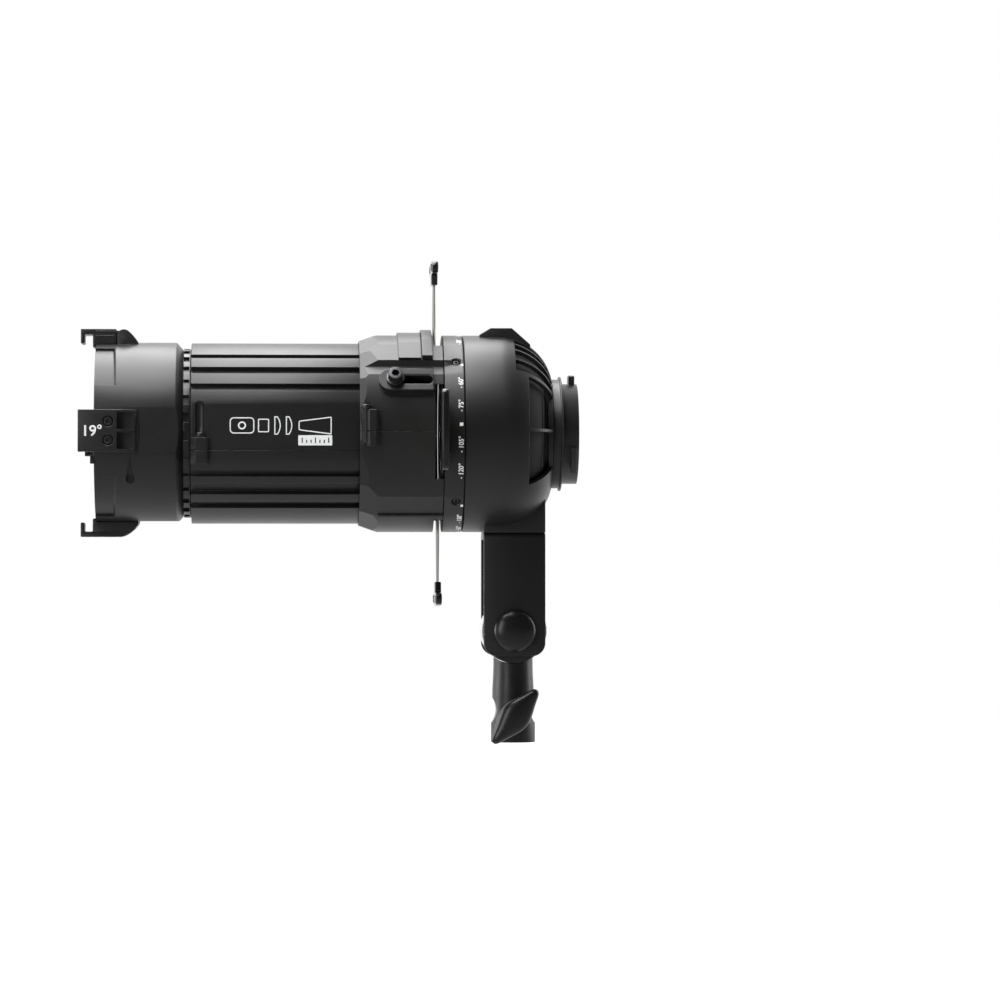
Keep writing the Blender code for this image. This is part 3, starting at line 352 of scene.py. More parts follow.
def combine(obj, tools, operation):
    for tool in tools:
        boolean = obj.modifiers.new(operation.lower(), "BOOLEAN")
        boolean.operation = operation
        boolean.solver = "EXACT"
        boolean.object = tool
    mesh = evaluated_mesh(obj)
    obj.modifiers.clear()
    close_slits(mesh)
    obj.data = mesh
    for tool in tools:
        bpy.data.objects.remove(tool, do_unlink=True)


def cut(obj, *tools):
    combine(obj, tools, "DIFFERENCE")


def join(obj, *tools):
    combine(obj, tools, "UNION")


def bevelled(obj, width, degrees=40):
    """Round the mesh's sharp edges."""
    bevel = obj.modifiers.new("bevel", "BEVEL")
    bevel.width = width * MM
    bevel.segments = 2
    bevel.limit_method = "ANGLE"
    bevel.angle_limit = math.radians(degrees)
    bevel.use_clamp_overlap = False
    mesh = evaluated_mesh(obj)
    obj.modifiers.clear()
    obj.data = mesh


# ---------------------------------------------------------------- materials

class Graph:
    """Node tree of a new material that ends in a Principled shader."""

    def __init__(self, name):
        self.material = bpy.data.materials.new(name)
        self.material.use_nodes = True
        self.tree = self.material.node_tree
        self.shader = self.tree.nodes["Principled BSDF"]
        self.coordinates = self.add("TexCoord").outputs["Object"]

    def add(self, kind, inputs=None, **settings):
        node = self.tree.nodes.new("ShaderNode" + kind)
        for name, value in settings.items():
            setattr(node, name, value)
        self.feed(node, inputs or {})
        return node

    def feed(self, node, inputs):
        for name, value in inputs.items():
            if isinstance(value, bpy.types.NodeSocket):
                self.tree.links.new(value, node.inputs[name])
            else:
                node.inputs[name].default_value = value

    def noise(self, size, detail, stretch=(1, 1, 1)):
        """Noise whose blobs are about the given size in millimetres, longer along a small stretch."""
        place = self.add("Mapping", {"Vector": self.coordinates, "Scale": stretch}).outputs["Vector"]
        inputs = {"Vector": place, "Scale": 1 / (size * MM), "Detail": detail, "Roughness": 0.55}
        return self.add("TexNoise", inputs).outputs["Fac"]

    def ramped(self, value, low, high, to_low=0.0, to_high=1.0):
        inputs = {"Value": value, "From Min": low, "From Max": high, "To Min": to_low, "To Max": to_high}
        return self.add("MapRange", inputs).outputs["Result"]

    def math(self, operation, first, second):
        return self.add("Math", {0: first, 1: second}, operation=operation).outputs[0]

    def mixed(self, share, first, second):
        node = self.add("Mix", {"Factor": share}, data_type="RGBA")
        self.feed(node, {6: first, 7: second})
        return node.outputs[2]

    def edges(self, radius):
        """Rounded normal, and how much each point lies on an outer or inner edge."""
        rounded = self.add("Bevel", {"Radius": radius * MM}, samples=4).outputs["Normal"]
        flat = self.add("NewGeometry").outputs["Normal"]
        along = self.add("VectorMath", {0: rounded, 1: flat}, operation="DOT_PRODUCT").outputs["Value"]
        return rounded, self.ramped(along, 0.995, 0.86)


def shade(colour, factor):
    return (*[min(1.0, value * factor) for value in colour], 1.0)


def surface(name, colour, roughness, grain, depth, scuff_and_highlight_amount, metallic=0.0, spread=0.1, edge=0.3,
            stretch=(1, 1, 1), tone=1.35, scuff_highlight_factor=4.0, rim=1.0):
    """Opaque finish: fine grain in its relief, uneven sheen and tone, and lighter edges, which are partly scuffed
    paint and partly a painted highlight.
    """
    graph = Graph(name)
    fine = graph.noise(grain, 3.0, stretch)
    cloud = graph.noise(28.0, 4.0)
    edge_patches = graph.noise(6.0, 3.0)
    rounded, on_edge = graph.edges(edge)
    # Edge lightening in patches: partly scuffed paint, partly a painted highlight standing in for light caught
    # along the edges.
    scuff_and_highlight = graph.math("MULTIPLY", on_edge, graph.ramped(edge_patches, 0.40, 0.62))
    scuff_and_highlight = graph.math("MULTIPLY", scuff_and_highlight, scuff_and_highlight_amount)
    base = graph.mixed(graph.ramped(cloud, 0.3, 0.7), shade(colour, 1.0), shade(colour, tone))
    base = graph.mixed(graph.ramped(fine, 0.35, 0.75), base, shade(colour, tone * 1.25))
    # Lighter edge colour: scuffed paint plus a painted edge highlight.
    scuff_highlight_colour = shade([value + 0.02 for value in colour], scuff_highlight_factor)
    matt = graph.math("ADD", cloud, fine)
    matt = graph.ramped(matt, 0.6, 1.4, roughness - spread / 2, roughness + spread / 2)
    matt = graph.math("SUBTRACT", matt, graph.math("MULTIPLY", scuff_and_highlight, 0.12))
    bump = graph.add("Bump", {"Strength": 1.0, "Distance": depth * MM, "Height": fine, "Normal": rounded})
    graph.feed(graph.shader, {
        "Base Color": graph.mixed(scuff_and_highlight, base, scuff_highlight_colour), "Roughness": matt, "Metallic": metallic,
        "Specular Tint": shade([rim] * 3, 1.0), "Normal": bump.outputs["Normal"]})
    return graph.material


def glass(name, tint, film):
    """Coated lens glass with a trace of dust."""
    graph = Graph(name)
    dust = graph.ramped(graph.noise(0.8, 4.0), 0.55, 0.8, 0.015, 0.09)
    graph.feed(graph.shader, {
        "Base Color": shade(tint, 1.0), "Roughness": dust, "IOR": 1.52, "Transmission Weight": 1.0,
        "Thin Film Thickness": film, "Thin Film IOR": 1.38})
    return graph.material


def ink(name, colour):
    """Screen print: slightly uneven cover and matt, with a faint painted glow that makes it brighter than its
    lighting.
    """
    graph = Graph(name)
    cover = graph.noise(0.7, 3.0)
    rounded, _ = graph.edges(0.1)
    # The emission is a painted glow: the print gives off light of its own.
    graph.feed(graph.shader, {
        "Base Color": graph.mixed(graph.ramped(cover, 0.35, 0.7), shade(colour, 0.82), shade(colour, 1.0)),
        "Roughness": graph.ramped(cover, 0.3, 0.7, 0.5, 0.65), "Normal": rounded,
        "Emission Color": shade(colour, 1.0), "Emission Strength": 0.3})
    return graph.material


# The sixth number and the last factor of each finish set how much its edges are lightened: scuffing plus a painted
# highlight.
MATERIALS = {
    "cast_black": surface("cast_black_coat", (0.0115, 0.0117, 0.0112), 0.40, 0.35, 0.016, 0.55, edge=0.4,
                          scuff_highlight_factor=4.5),
    # Near-black lining used only as painted shade behind the vents.
    "sooty_black": surface("painted_shade_lining", (0.0028, 0.0028, 0.0028), 0.75, 0.3, 0.006, 0.1, edge=0.2),
    "moulded_black": surface("moulded_black_nylon", (0.009, 0.009, 0.0093), 0.30, 0.3, 0.006, 0.35,
                             edge=0.4),
    "gloss_black": surface("gloss_black_moulding", (0.010, 0.010, 0.011), 0.16, 0.6, 0.002, 0.15,
                           spread=0.08),
    "screw_black": surface("black_oxide_steel", (0.050, 0.050, 0.053), 0.34, 0.25, 0.003, 0.5, metallic=0.85,
                           scuff_highlight_factor=2.0),
    "stainless": surface("brushed_stainless", (0.33, 0.31, 0.28), 0.38, 0.25, 0.004, 0.3, metallic=1.0,
                         stretch=(1, 1, 0.04), tone=0.8, scuff_highlight_factor=1.2, rim=0.45),
    "bright_alloy": surface("turned_alloy", (0.62, 0.62, 0.63), 0.30, 0.3, 0.003, 0.3, metallic=1.0,
                            stretch=(1, 0.06, 1), tone=0.85, scuff_highlight_factor=1.2),
    "optical_glass": glass("coated_glass", (0.96, 0.98, 0.98), 420.0),
    "print_white": ink("white_ink_painted_glow", (0.92, 0.94, 0.94)),
}


def done(obj, finish, *nodes, body=None, angle=32):
    """Give a piece its finish and body, and let it stand for the CAD nodes named."""
    obj.data.transform(obj.matrix_world)
    obj.matrix_world = Matrix.Identity(4)
    obj.data.materials.clear()
    obj.data.materials.append(MATERIALS[finish])
    obj.data.shade_smooth()
    obj.data.set_sharp_from_angle(angle=math.radians(angle))
    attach(obj, body or BODY_OF[nodes[0]])
    if nodes:
        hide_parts(*nodes)
    return obj


# ---------------------------------------------------------------- fasteners

def cap_screw(node, place, radius, height, shank_radius, shank):
    """Socket head screw: the placed origin is the middle of its head's top."""
    profile = [(-height - shank, 0), (-height - shank, shank_radius), (-height, shank_radius),
               (-height, radius), (-0.35, radius), (0, radius - 0.35), (0, 0)]
    screw = lathe(node + "_fine", profile, place, SMALL_STEPS, 0.08)
    socket = lathe("socket", [(-height * 0.6, 0), (-height * 0.6, radius * 0.55), (1, radius * 0.55), (1, 0)],
                   place, 6, 0.0)
    cut(screw, socket)
    return done(screw, "screw_black", node)


def make_screws():
    for node in ("gate_screw_near", "gate_screw_far", "barrel_screw_near", "barrel_screw_far"):
        extent = Extent(node)
        top = (extent.middle[0], extent.middle[1], extent.z1)
        shank = extent.z1 - extent.z0 - 2.6
        cap_screw(node, pointing(top, (0, 0, 1)), (extent.x1 - extent.x0) / 2, 2.6, 1.3, shank)
    for node in ("bracket_screw_front", "bracket_screw_rear"):
        extent = Extent(node)
        top = (extent.middle[0], extent.middle[1], extent.z0)
        cap_screw(node, pointing(top, (0, 0, -1)), (extent.x1 - extent.x0) / 2, 3.2, 1.9, 6.2)
    for side, direction in (("near", (0, -1, 0)), ("bottom", (0, 0, -1)), ("far", (0, 1, 0))):
        for index in (1, 2):
            node = "claw_screw_%s_%d" % (side, index)
            extent = Extent(node)
            reach = [(high - low) / 2 for low, high in
                     ((extent.x0, extent.x1), (extent.y0, extent.y1), (extent.z0, extent.z1))]
            top = [value + step * out for value, step, out in zip(extent.middle, direction, reach)]
            cap_screw(node, pointing(top, direction), 2.7, 1.9, 1.2, 7.4)
    for index in range(4):
        node = "index_screw_%d" % (index + 1)
        extent = Extent(node)
        middle = Vector(extent.middle) - Vector((0, 0, AXIS_Z))
        out = Vector((0, middle.y, middle.z)).normalized()
        top = Vector((middle.x, 0, AXIS_Z)) + out * 58.0
        cap_screw(node, pointing(top, out), 1.9, 2.0, 1.9, 2.6)


# ---------------------------------------------------------------- hood

def make_hood():
    seat = LENS.x1 + GAP
    wall = HOOD_BORE + 0.7
    profile = [(HOOD.x0, HOOD_BORE), (HOOD.x0, HOOD_RADIUS), (HOOD.x1 - 3.9, HOOD_RADIUS),
               (HOOD.x1, HOOD_RADIUS - 4.3), (HOOD.x1, HOOD_RADIUS - 5.3), (HOOD.x1 - 5.8, HOOD_RADIUS - 5.3),
               (HOOD.x1 - 5.8, HOOD_BORE), (seat + 4.0, HOOD_BORE), (seat + 4.0, 46.0), (seat, 46.0),
               (seat, HOOD_BORE), (LENS.x0 + 6.0, HOOD_BORE)]
    along = LENS.x0 + 5.0
    while along > HOOD.x0 + 2.4:
        profile += [(along, HOOD_BORE), (along, wall), (along - 0.6, wall), (along - 1.2, HOOD_BORE)]
        along -= 1.9
    hood = lathe("front_hood_fine", profile, ease=0.35)
    top = HOOD.z1 - AXIS_Z
    lug = arc(top - LATCH_R, 180, 60, 16, (LATCH_X, LATCH_R))
    lug += curve_to((LATCH_X + 2.4, top - 0.7), (CLAW.x1 - 2.5, 58.0), (CLAW.x1, 53.9))
    lug += [(CLAW.x1, 51.5), (LATCH_X - 3.9, 51.5)]
    join(hood, *[prism("latch_lug", [lug], low, high, PROFILE_Y, 0.3)
                 for low, high in ((-CLAW_HALF, -8.6), (8.6, CLAW_HALF))])
    pin_place = PROFILE_Y @ shift(LATCH_X, LATCH_R)
    tools = [rod("pin_hole", 1.6, -CLAW_HALF + 0.15, CLAW_HALF - 0.15, pin_place)]
    pad = ((HOOD.x0 - 1, HOOD.x0 + 11.8), (HOOD.x0 - 1, HOOD.x0 + 10.6))
    for quarter in range(4):
        start = 90 * quarter + (30.0 if quarter % 2 == 0 else 23.0)
        ends = (pad[1], pad[0]) if quarter % 2 else (pad[0], pad[1])
        tools.append(curved_block("rim_pad", ((*ends[0], start), (*ends[1], start + 37.0)),
                                  HOOD_RADIUS - 1.3, HOOD_RADIUS + 6.7, flare=8.0))
    flat = HOOD_RADIUS - 1.8
    for side in ("near", "bottom", "far"):
        place = around_axis(SIDES[side]) @ OPTICAL_ORIGIN
        tools.append(block("flat", (CLAW.x1 + 0.6, -30, flat), (HOOD.x1 + 5, 30, 70), place))
        for offset in CLAW_SCREW_OFFSETS:
            spot = place @ shift(CLAW_SCREW_X, offset)
            tools.append(rod("screw_hole", 1.5, 51.4, 60, spot))
    drop = [(CLAW.x1 - 3.9, -15.0)] + arc(2.7, 12, -192, 16, (CLAW.x1 - 3.9, -28.0))
    tools.append(prism("drop_recess", [drop], 44.6, 60.0, PROFILE_Y, 0.0))
    cut(hood, *tools)
    ends = (CLAW.x1 - 8.2, CLAW.x1 + GAP)
    join(hood, curved_block("recess_floor", ((*ends, 192.0), (*ends, 222.0)), HOOD_BORE + 0.02,
                            HOOD_BORE + 1.0))
    done(hood, "cast_black", "front_hood")
    stop = block("hood_stop", (HOOD.x0 - 2.2, -51.6, -19.2), (HOOD.x0 + 0.6, -48.4, -14.2), edge=0.3)
    done(stop, "cast_black", body="lens_tube")


def claw_profile(front, rear):
    """Hooked side view of a claw with its channel, in (along, distance from the axis)."""
    channel_front, channel_rear = CHANNEL[0] - GAP, CHANNEL[1] + GAP
    roof = CLAW_RADIUS - 3.2
    crown = [(front, 53.4), (front, CLAW_RADIUS)]
    if rear > LATCH_X:
        crown += curve_to((rear - 11.5, CLAW_RADIUS), (rear - 6.5, CLAW_RADIUS), (rear, 54.9), 12)
    else:
        crown += [(rear, CLAW_RADIUS)]
    crown += [(rear, 51.0), (channel_rear, 51.0), (channel_rear, roof), (channel_front, roof),
              (channel_front, 53.4)]
    return eased(crown, 0.6)


def hood_room():
    """Space that the claws leave for the hood."""
    return rod("hood_room", HOOD_RADIUS + GAP, HOOD.x0 - GAP, CLAW.x1 + 10.0, TURN_X, STEPS)


def make_claw(side):
    place = around_axis(SIDES[side])
    claw = prism("claw_%s_fine" % side, [claw_profile(CLAW.x0, CLAW.x1)], -CLAW_HALF, CLAW_HALF,
                 place @ PROFILE_Y, 0.4)
    tools = [hood_room()]
    for offset in CLAW_SCREW_OFFSETS:
        spot = place @ OPTICAL_ORIGIN @ shift(CLAW_SCREW_X, offset)
        profile = [(50.0, 0), (50.0, 1.6), (59.4, 1.6), (59.4, 3.1), (61.6, 3.1), (62.4, 3.9), (62.4, 0)]
        tools.append(lathe("counterbore", profile, spot, SMALL_STEPS, 0.0))
    for low, high in ((-10.9, -0.8), (0.8, 10.9)):
        tools.append(block("pocket", (CLAW.x1 - 11.5, low, 56.4), (CLAW.x1 + 3, high, 70.0),
                           place @ OPTICAL_ORIGIN))
    cut(claw, *tools)
    done(claw, "cast_black", "claw_" + side)


def make_latch():
    latch = Extent("frame_latch")
    body = prism("frame_latch_fine", [claw_profile(latch.x0, LATCH_X - 4.4)], -CLAW_HALF, CLAW_HALF,
                 PROFILE_Y, 0.4)
    knuckle = arc(3.2, -90, 90, 20, (LATCH_X, LATCH_R))
    knuckle += [(LATCH_X - 7.0, LATCH_R + 3.2), (LATCH_X - 7.0, LATCH_R - 3.2)]
    ribs = []
    for across in (-CLAW_HALF + 0.2, CLAW_HALF - 0.2):
        for radius in (57.4, 60.2):
            ribs.append(block("side_rib", (HOOD.x0, across - 0.4, radius),
                              (LATCH_X - 5.2, across + 0.4, radius + 0.6)))
    join(body, prism("knuckle", [knuckle], -8.2, 8.2, PROFILE_Y, 0.25), *ribs)
    pin_place = PROFILE_Y @ shift(LATCH_X, LATCH_R)
    tools = [hood_room(), rod("pin_hole", 1.6, -20, 20, pin_place)]
    for across in (-7.4, -0.7, 6.0):
        tools.append(block("groove", (HOOD.x0 + 0.5, across, CLAW_RADIUS - 0.8),
                           (LATCH_X - 6.5, across + 1.4, 70.0)))
    cut(body, *tools)
    done(body, "cast_black", "frame_latch")
    done(rod("latch_pin_fine", 1.3, -12.2, 12.2, pin_place, ease=0.2), "bright_alloy", "latch_pin")


def crowned(rim, height, radii):
    """Lens face that rises by the height from its rim, at the last radius, to its middle."""
    return [(rim + height * (1 - (radius / radii[-1]) ** 2), radius) for radius in radii]


def make_lenses():
    rim, aperture = LENS.x1 + GAP - 5.5, 47.0
    radii = (0, 5, 10, 15, 20, 25, 30, 35, 40, 44, aperture)
    lens = crowned(rim, LENS.x0 - rim, radii) + [(rim, LENS.y1), (LENS.x1, LENS.y1), (LENS.x1, 0)]
    done(lathe("front_lens_fine", lens, ease=0.1), "optical_glass", "front_lens")
    ring = Extent("front_lens_ring")
    profile = [(ring.x0, 48.4), (ring.x0, ring.y1), (ring.x1, ring.y1), (ring.x1, 47.6),
               (ring.x0 + 1.4, 47.6)]
    collar = lathe("front_lens_ring_fine", profile, ease=0.2)
    cut(collar, *[block("spanner_slot", (ring.x0 - 1, low, -1.2), (ring.x0 + 1.2, low + 6, 1.2))
                  for low in (-52.0, 46.0)])
    done(collar, "cast_black", "front_lens_ring")
    cell = Extent("rear_lens_cell")
    profile = [(cell.x0, 45.3), (cell.x0, cell.y1), (cell.x1, cell.y1), (cell.x1, 42.0), (cell.x1 - 3, 42.0),
               (cell.x1 - 3, 45.3)]
    done(lathe("rear_lens_cell_fine", profile), "cast_black", "rear_lens_cell")
    rear = Extent("rear_lens")
    back, front, aperture = rear.x1 - 2.0, rear.x0 + 9.0, 43.0
    radii = (0, 6, 12, 18, 24, 30, 36, aperture)
    lens = crowned(back, rear.x1 - back, radii) + [(back, rear.y1), (front, rear.y1)]
    lens += reversed(crowned(front, rear.x0 - front, radii))
    done(lathe("rear_lens_fine", lens, ease=0.1), "optical_glass", "rear_lens")


def make_neck():
    flange = HOOD.x1 + 0.4
    profile = [(NECK.x0, 45.5), (NECK.x0, HOOD_BORE - GAP), (NECK.x0 + 4.2, HOOD_BORE - GAP),
               (NECK.x0 + 4.2, 48.7), (flange, 48.7), (flange, 50.6), (BARREL.x0 - 0.4, 50.6),
               (BARREL.x0 - 0.4, BARREL_BORE - 0.4), (NECK.x1, BARREL_BORE - 0.4), (NECK.x1, 45.5)]
    neck = lathe("neck_ring_fine", profile, ease=0.15)
    notches = bmesh.new()
    count = 29
    for tooth in range(count):
        turn = Matrix.Rotation(2 * math.pi * (tooth + 0.5) / count, 4, "X")
        size = Matrix.Diagonal((4.4 * MM, 5.8 * MM, 3.2 * MM, 1))
        place = turn @ shift(flange + 1.3, 0, 50.5) @ size
        bmesh.ops.create_cube(notches, size=1.0, matrix=place)
    cut(neck, mesh_object("notches", notches, OPTICAL_ORIGIN))
    done(neck, "moulded_black", "neck_ring")


# ---------------------------------------------------------------- barrel

UPPER_GROOVES = ((26.4, 31.5), (39.6, 45.3), (54.4, 58.6))
LOWER_GROOVES = ((25.0, 29.5), (34.5, 43.2), (50.4, 56.4))


def both_sides(right, bore, split):
    """Closed C outline from its right half, with a round bore inside."""
    left = [(-across, up) for across, up in reversed(right)]
    start = 180 - math.degrees(math.asin(split / bore))
    return right + left[1:] + arc(bore, start, 180 - start, 90)


def barrel_outline(side):
    split = BARREL_SPLIT - GAP / 2 + side * GAP / 2
    flat_top = math.sqrt(BARREL_RADIUS ** 2 - BARREL_FLAT ** 2)
    angle = math.degrees(math.asin(flat_top / BARREL_RADIUS))
    floor = BARREL_RADIUS - 3.0
    right = [(BARREL_FLAT, side * split), (BARREL_FLAT, flat_top)]
    for start, end in (UPPER_GROOVES if side > 0 else LOWER_GROOVES):
        rib = arc(BARREL_RADIUS, angle, start, 7)
        groove = arc(floor, start + 0.6, end - 0.2, 4)
        right += rib + groove
        angle = end
    right += arc(BARREL_RADIUS, angle, 90, 16)
    outline = both_sides(right, BARREL_BORE, side * split)
    return [(across, side * up) for across, up in outline]


def make_barrel_shell(side):
    node = "barrel_upper_shell" if side > 0 else "barrel_lower_shell"
    shell = prism(node + "_fine", [barrel_outline(side)], BARREL.x0, BARREL.x1, SECTION_X, 0.25)
    split = BARREL_SPLIT - GAP / 2 + side * GAP / 2
    low, high = sorted((split, -3.7 if side > 0 else -19.4))
    screw = Extent("barrel_screw_near")
    for y_side in (-1, 1):
        front, rear, tip = BARREL.x0, BARREL.x0 + 10.7, 55.6
        outline = [(front, 50.2), (front, tip - 2.2), (front + 2.8, tip)]
        outline += arc(2.6, 90, 0, 8, (rear - 2.6, tip - 2.6)) + [(rear, 50.2)]
        outline = [(x, y_side * y) for x, y in outline]
        join(shell, prism("ear", [outline], low, high, OPTICAL_ORIGIN, 0.3))
        spot = pointing((screw.middle[0], -y_side * screw.middle[1], AXIS_Z), (0, 0, 1))
        groove = pointing((screw.middle[0], -y_side * (screw.middle[1] + 0.6), AXIS_Z), (0, 0, 1))
        tools = [rod("ear_hole", 1.6, -25, 0, spot)]
        if side > 0:
            tools.append(lathe("tool_access", [(-3.6, 0), (-3.6, 3.0), (15.0, 3.0), (17.4, 2.2), (18.2, 0)],
                               groove, SMALL_STEPS, 0.6))
        cut(shell, *tools)
    done(shell, "cast_black", node)


# ---------------------------------------------------------------- gate

SLOT_FRONT = GATE.x1 - 5.2
SLOT_HALF = 28.0
SLOT_DEPTH = 44.0
RAIL_FRONT, RAIL_REAR, RAIL_END_RADIUS = GATE.x0 + 11.0, GATE.x1 - 6.2, 7.5
RAIL_SLOT = (GATE.x0 + 20.6, GATE.x1 - 9.4)
GOBO_SLOT = (-66.0, -60.0)
IRIS_SLOT = (-54.4, -51.2)


def bulge(radius, top, count):
    """Slightly crowned side of the gate housing from the split to its ledge."""
    heights = [0.02 + (top - 0.02) * step / (count - 1) for step in range(count)]
    return [(GATE_SIDE - radius + math.sqrt(radius ** 2 - up ** 2), up) for up in heights]


def gate_section(side):
    """Right half of the gate housing's outline from the split to the middle, side +1 above."""
    if side > 0:
        points = bulge(68.7, 34.0, 16) + [(40.8, 38.5), (40.8, 42.6)]
        start = math.degrees(math.acos(27.0 / GATE_RADIUS))
    else:
        points = bulge(74.3, 38.4, 18)
        start = math.degrees(math.acos(32.4 / GATE_RADIUS))
    return points + arc(GATE_RADIUS, start, 90, 22)


def make_gate_shell(side):
    node = "gate_upper_shell" if side > 0 else "gate_lower_shell"
    outline = both_sides(gate_section(side), GATE_BORE, 0.02)
    shell = prism(node + "_fine", [[(across, side * up) for across, up in outline]], GATE.x0, GATE.x1,
                  SECTION_X, 0.3)
    ear = (0.15, 12.8) if side > 0 else (-8.6, -0.15)
    screw_x = Extent("gate_screw_near").middle[0]
    extras = []
    for y_side in (-1, 1):
        outline = [(GATE.x0, 50.0), (GATE.x0, 53.6), (GATE.x0 + 5.6, 60.0), (GATE.x0 + 9.2, 60.0),
                   (GATE.x0 + 10.7, 58.5), (GATE.x0 + 10.7, 50.0)]
        outline = [(x, y_side * y) for x, y in outline]
        extras.append(prism("ear", [outline], ear[0], ear[1], OPTICAL_ORIGIN, 0.3))
    if side > 0:
        plate = arc(RAIL_END_RADIUS, 90, 270, 24, (RAIL_FRONT + RAIL_END_RADIUS, 0))
        plate += [(RAIL_REAR, -RAIL_END_RADIUS), (RAIL_REAR, RAIL_END_RADIUS)]
        extras.append(prism("rail_plate", [plate], 50.0, RAIL_TOP, FOCUS_FRAME, 0.35))
    if side < 0:
        crease = [(31.4, -49.7), (33.1, -48.3), (33.9, -49.2), (33.2, -50.2)]
        for outline in (crease, [(-across, up) for across, up in crease]):
            extras.append(prism("crease_bead", [outline], RAIL_FRONT, GATE.x1, SECTION_X, 0.1))
    before, behind = GATE.x0 - 1.0, GATE.x0 + 13.0
    facet_turn = TURN_X @ Matrix.Rotation(math.radians(11.25), 4, "Z")
    cut(shell, lathe("front_bevel", [(before, 55.8), (behind, 60.8), (behind, 75), (before, 75)],
                     facet_turn, 16, 0.0))
    join(shell, *extras)
    tools = [rod("gate_bore", GATE_BORE, -120, -30, TURN_X, STEPS)]
    for y_side in (-1, 1):
        seam = sorted((y_side * (GATE_SIDE - 0.45), y_side * 62.0))
        tools.append(block("seam", (GATE.x0 - 1, seam[0], -0.22), (GATE.x1 + 1, seam[1], 0.22)))
        hole = OPTICAL_ORIGIN @ shift(screw_x, y_side * 57.0)
        tools.append(rod("ear_hole", 1.6, -20, 20, hole))
        slot = sorted((y_side * SLOT_DEPTH, y_side * 70.0))
        rear = GATE.x1 + 1 if y_side < 0 else GATE.x1 - 2.2
        tools.append(block("side_shutter_slot", (SLOT_FRONT, slot[0], -SLOT_HALF),
                           (rear, slot[1], SLOT_HALF)))
        if side > 0:
            access = OPTICAL_ORIGIN @ shift(screw_x + 1.6, y_side * 58.6)
            tools.append(lathe("tool_access", [(12.8, 0), (12.8, 5.4), (24.0, 5.4), (27.6, 3.6), (28.8, 0)],
                               access, SMALL_STEPS, 0.5))
    up = sorted((side * SLOT_DEPTH, side * 70.0))
    tools.append(block("shutter_slot", (SLOT_FRONT, -SLOT_HALF, up[0]), (GATE.x1 + 1, SLOT_HALF, up[1])))
    if side > 0:
        for front, rear in (GOBO_SLOT, IRIS_SLOT):
            tools.append(block("top_slot", (front, -30.0, 40.0), (rear, 30.0, 70.0)))
        for name, radius, depth in (("rail_slot", 2.9, 40.0), ("rail_rim", 3.6, RAIL_TOP - 0.4)):
            tools.append(prism(name, [stadium(radius, *RAIL_SLOT)], depth, 70.0, FOCUS_FRAME, 0.0))
    cut(shell, *tools)
    done(shell, "cast_black", node, angle=7)


def plain_ring(node, inner, finish, ease=0.2):
    extent = Extent(node)
    outer = extent.y1
    profile = [(extent.x0, inner), (extent.x0, outer), (extent.x1, outer), (extent.x1, inner)]
    done(lathe(node + "_fine", profile, ease=ease), finish, node)


def make_slot_cover(node, slot, crown):
    """Saddle cap over a slot in the gate's top, with a tongue that drops into the slot."""
    extent = Extent(node)
    lift = crown - GATE_RADIUS
    corner = (27.0, math.sqrt(GATE_RADIUS ** 2 - 27.0 ** 2))
    normal = (0.58, 0.815)

    def shifted(point, distance):
        return (point[0] + normal[0] * distance, point[1] + normal[1] * distance)

    hem = (40.8, 42.6)
    start = math.degrees(math.acos(28.0 / crown))
    outer = [shifted(hem, lift)] + arc(crown, start, 180 - start, 40)
    outer += [(-shifted(hem, lift)[0], shifted(hem, lift)[1])]
    inner_corner = shifted(corner, GAP)
    inner_hem = shifted(hem, GAP)
    start = math.degrees(math.atan2(inner_corner[1], inner_corner[0]))
    inner = [(-inner_hem[0], inner_hem[1])]
    inner += arc(math.hypot(*inner_corner), 180 - start, start, 40) + [inner_hem]
    cover = prism(node + "_fine", [outer + inner], extent.x0, extent.x1, SECTION_X, 0.3)
    tongue = sector(GATE_RADIUS - 3.6, GATE_RADIUS + 0.9, 65, 115)
    join(cover, prism("tongue", [tongue], slot[0] + GAP, slot[1] - GAP, SECTION_X, 0.1))
    done(cover, "cast_black", node, angle=7)


def make_focus_parts():
    place = pointing(FOCUS_PLACE, FOCUS_AXIS)
    collar = GAP
    profile = [(-14.0, 0), (-14.0, 2.4), (collar, 2.4), (collar, 5.4), (collar + 1.6, 5.4),
               (collar + 1.6, 4.25), (collar + 6.2, 4.25), (collar + 6.6, 3.9), (collar + 6.6, 0)]
    screw = lathe("focus_lock_screw_fine", profile, place, 72, 0.15)
    socket = lathe("socket", [(collar + 3.0, 0), (collar + 3.0, 2.4), (collar + 8, 2.4), (collar + 8, 0)],
                   place, 6, 0.0)
    flutes = []
    for flute in range(24):
        turn = Matrix.Rotation(2 * math.pi * flute / 24, 4, "Z")
        spot = place @ turn @ shift(4.42)
        flutes.append(rod("flute", 0.34, collar + 2.1, collar + 5.7, spot, 8))
    cut(screw, socket, *flutes)
    done(screw, "screw_black", "focus_lock_screw")


# ---------------------------------------------------------------- index ring

def section_radius(degrees):
    """Distance from the axis to the gate housing's outline, at an angle above the horizontal."""
    direction = (abs(math.cos(math.radians(degrees))), math.sin(math.radians(degrees)))
    side = 1 if direction[1] >= 0 else -1
    corners = [(GATE_SIDE, 0.0)] + [(across, side * up) for across, up in gate_section(side)[1:]]
    for (y_a, z_a), (y_b, z_b) in zip(corners, corners[1:]):
        turn_a = direction[0] * z_a - direction[1] * y_a
        turn_b = direction[0] * z_b - direction[1] * y_b
        if turn_a * turn_b <= 0 and turn_a != turn_b:
            share = turn_a / (turn_a - turn_b)
            return math.hypot(y_a + (y_b - y_a) * share, z_a + (z_b - z_a) * share)
    return GATE_RADIUS


INDEX_FRONT = INDEX.x0
INDEX_REAR = HOUSING.x0 - GAP


def index_radius(along, degrees):
    """Radius of the ring's outside, which turns from the gate's section into a circle."""
    share = min(1.0, max(0.0, (along - INDEX_FRONT) / (INDEX_REAR - INDEX_FRONT)))
    return section_radius(degrees) * (1 - share) + INDEX_RADIUS * share


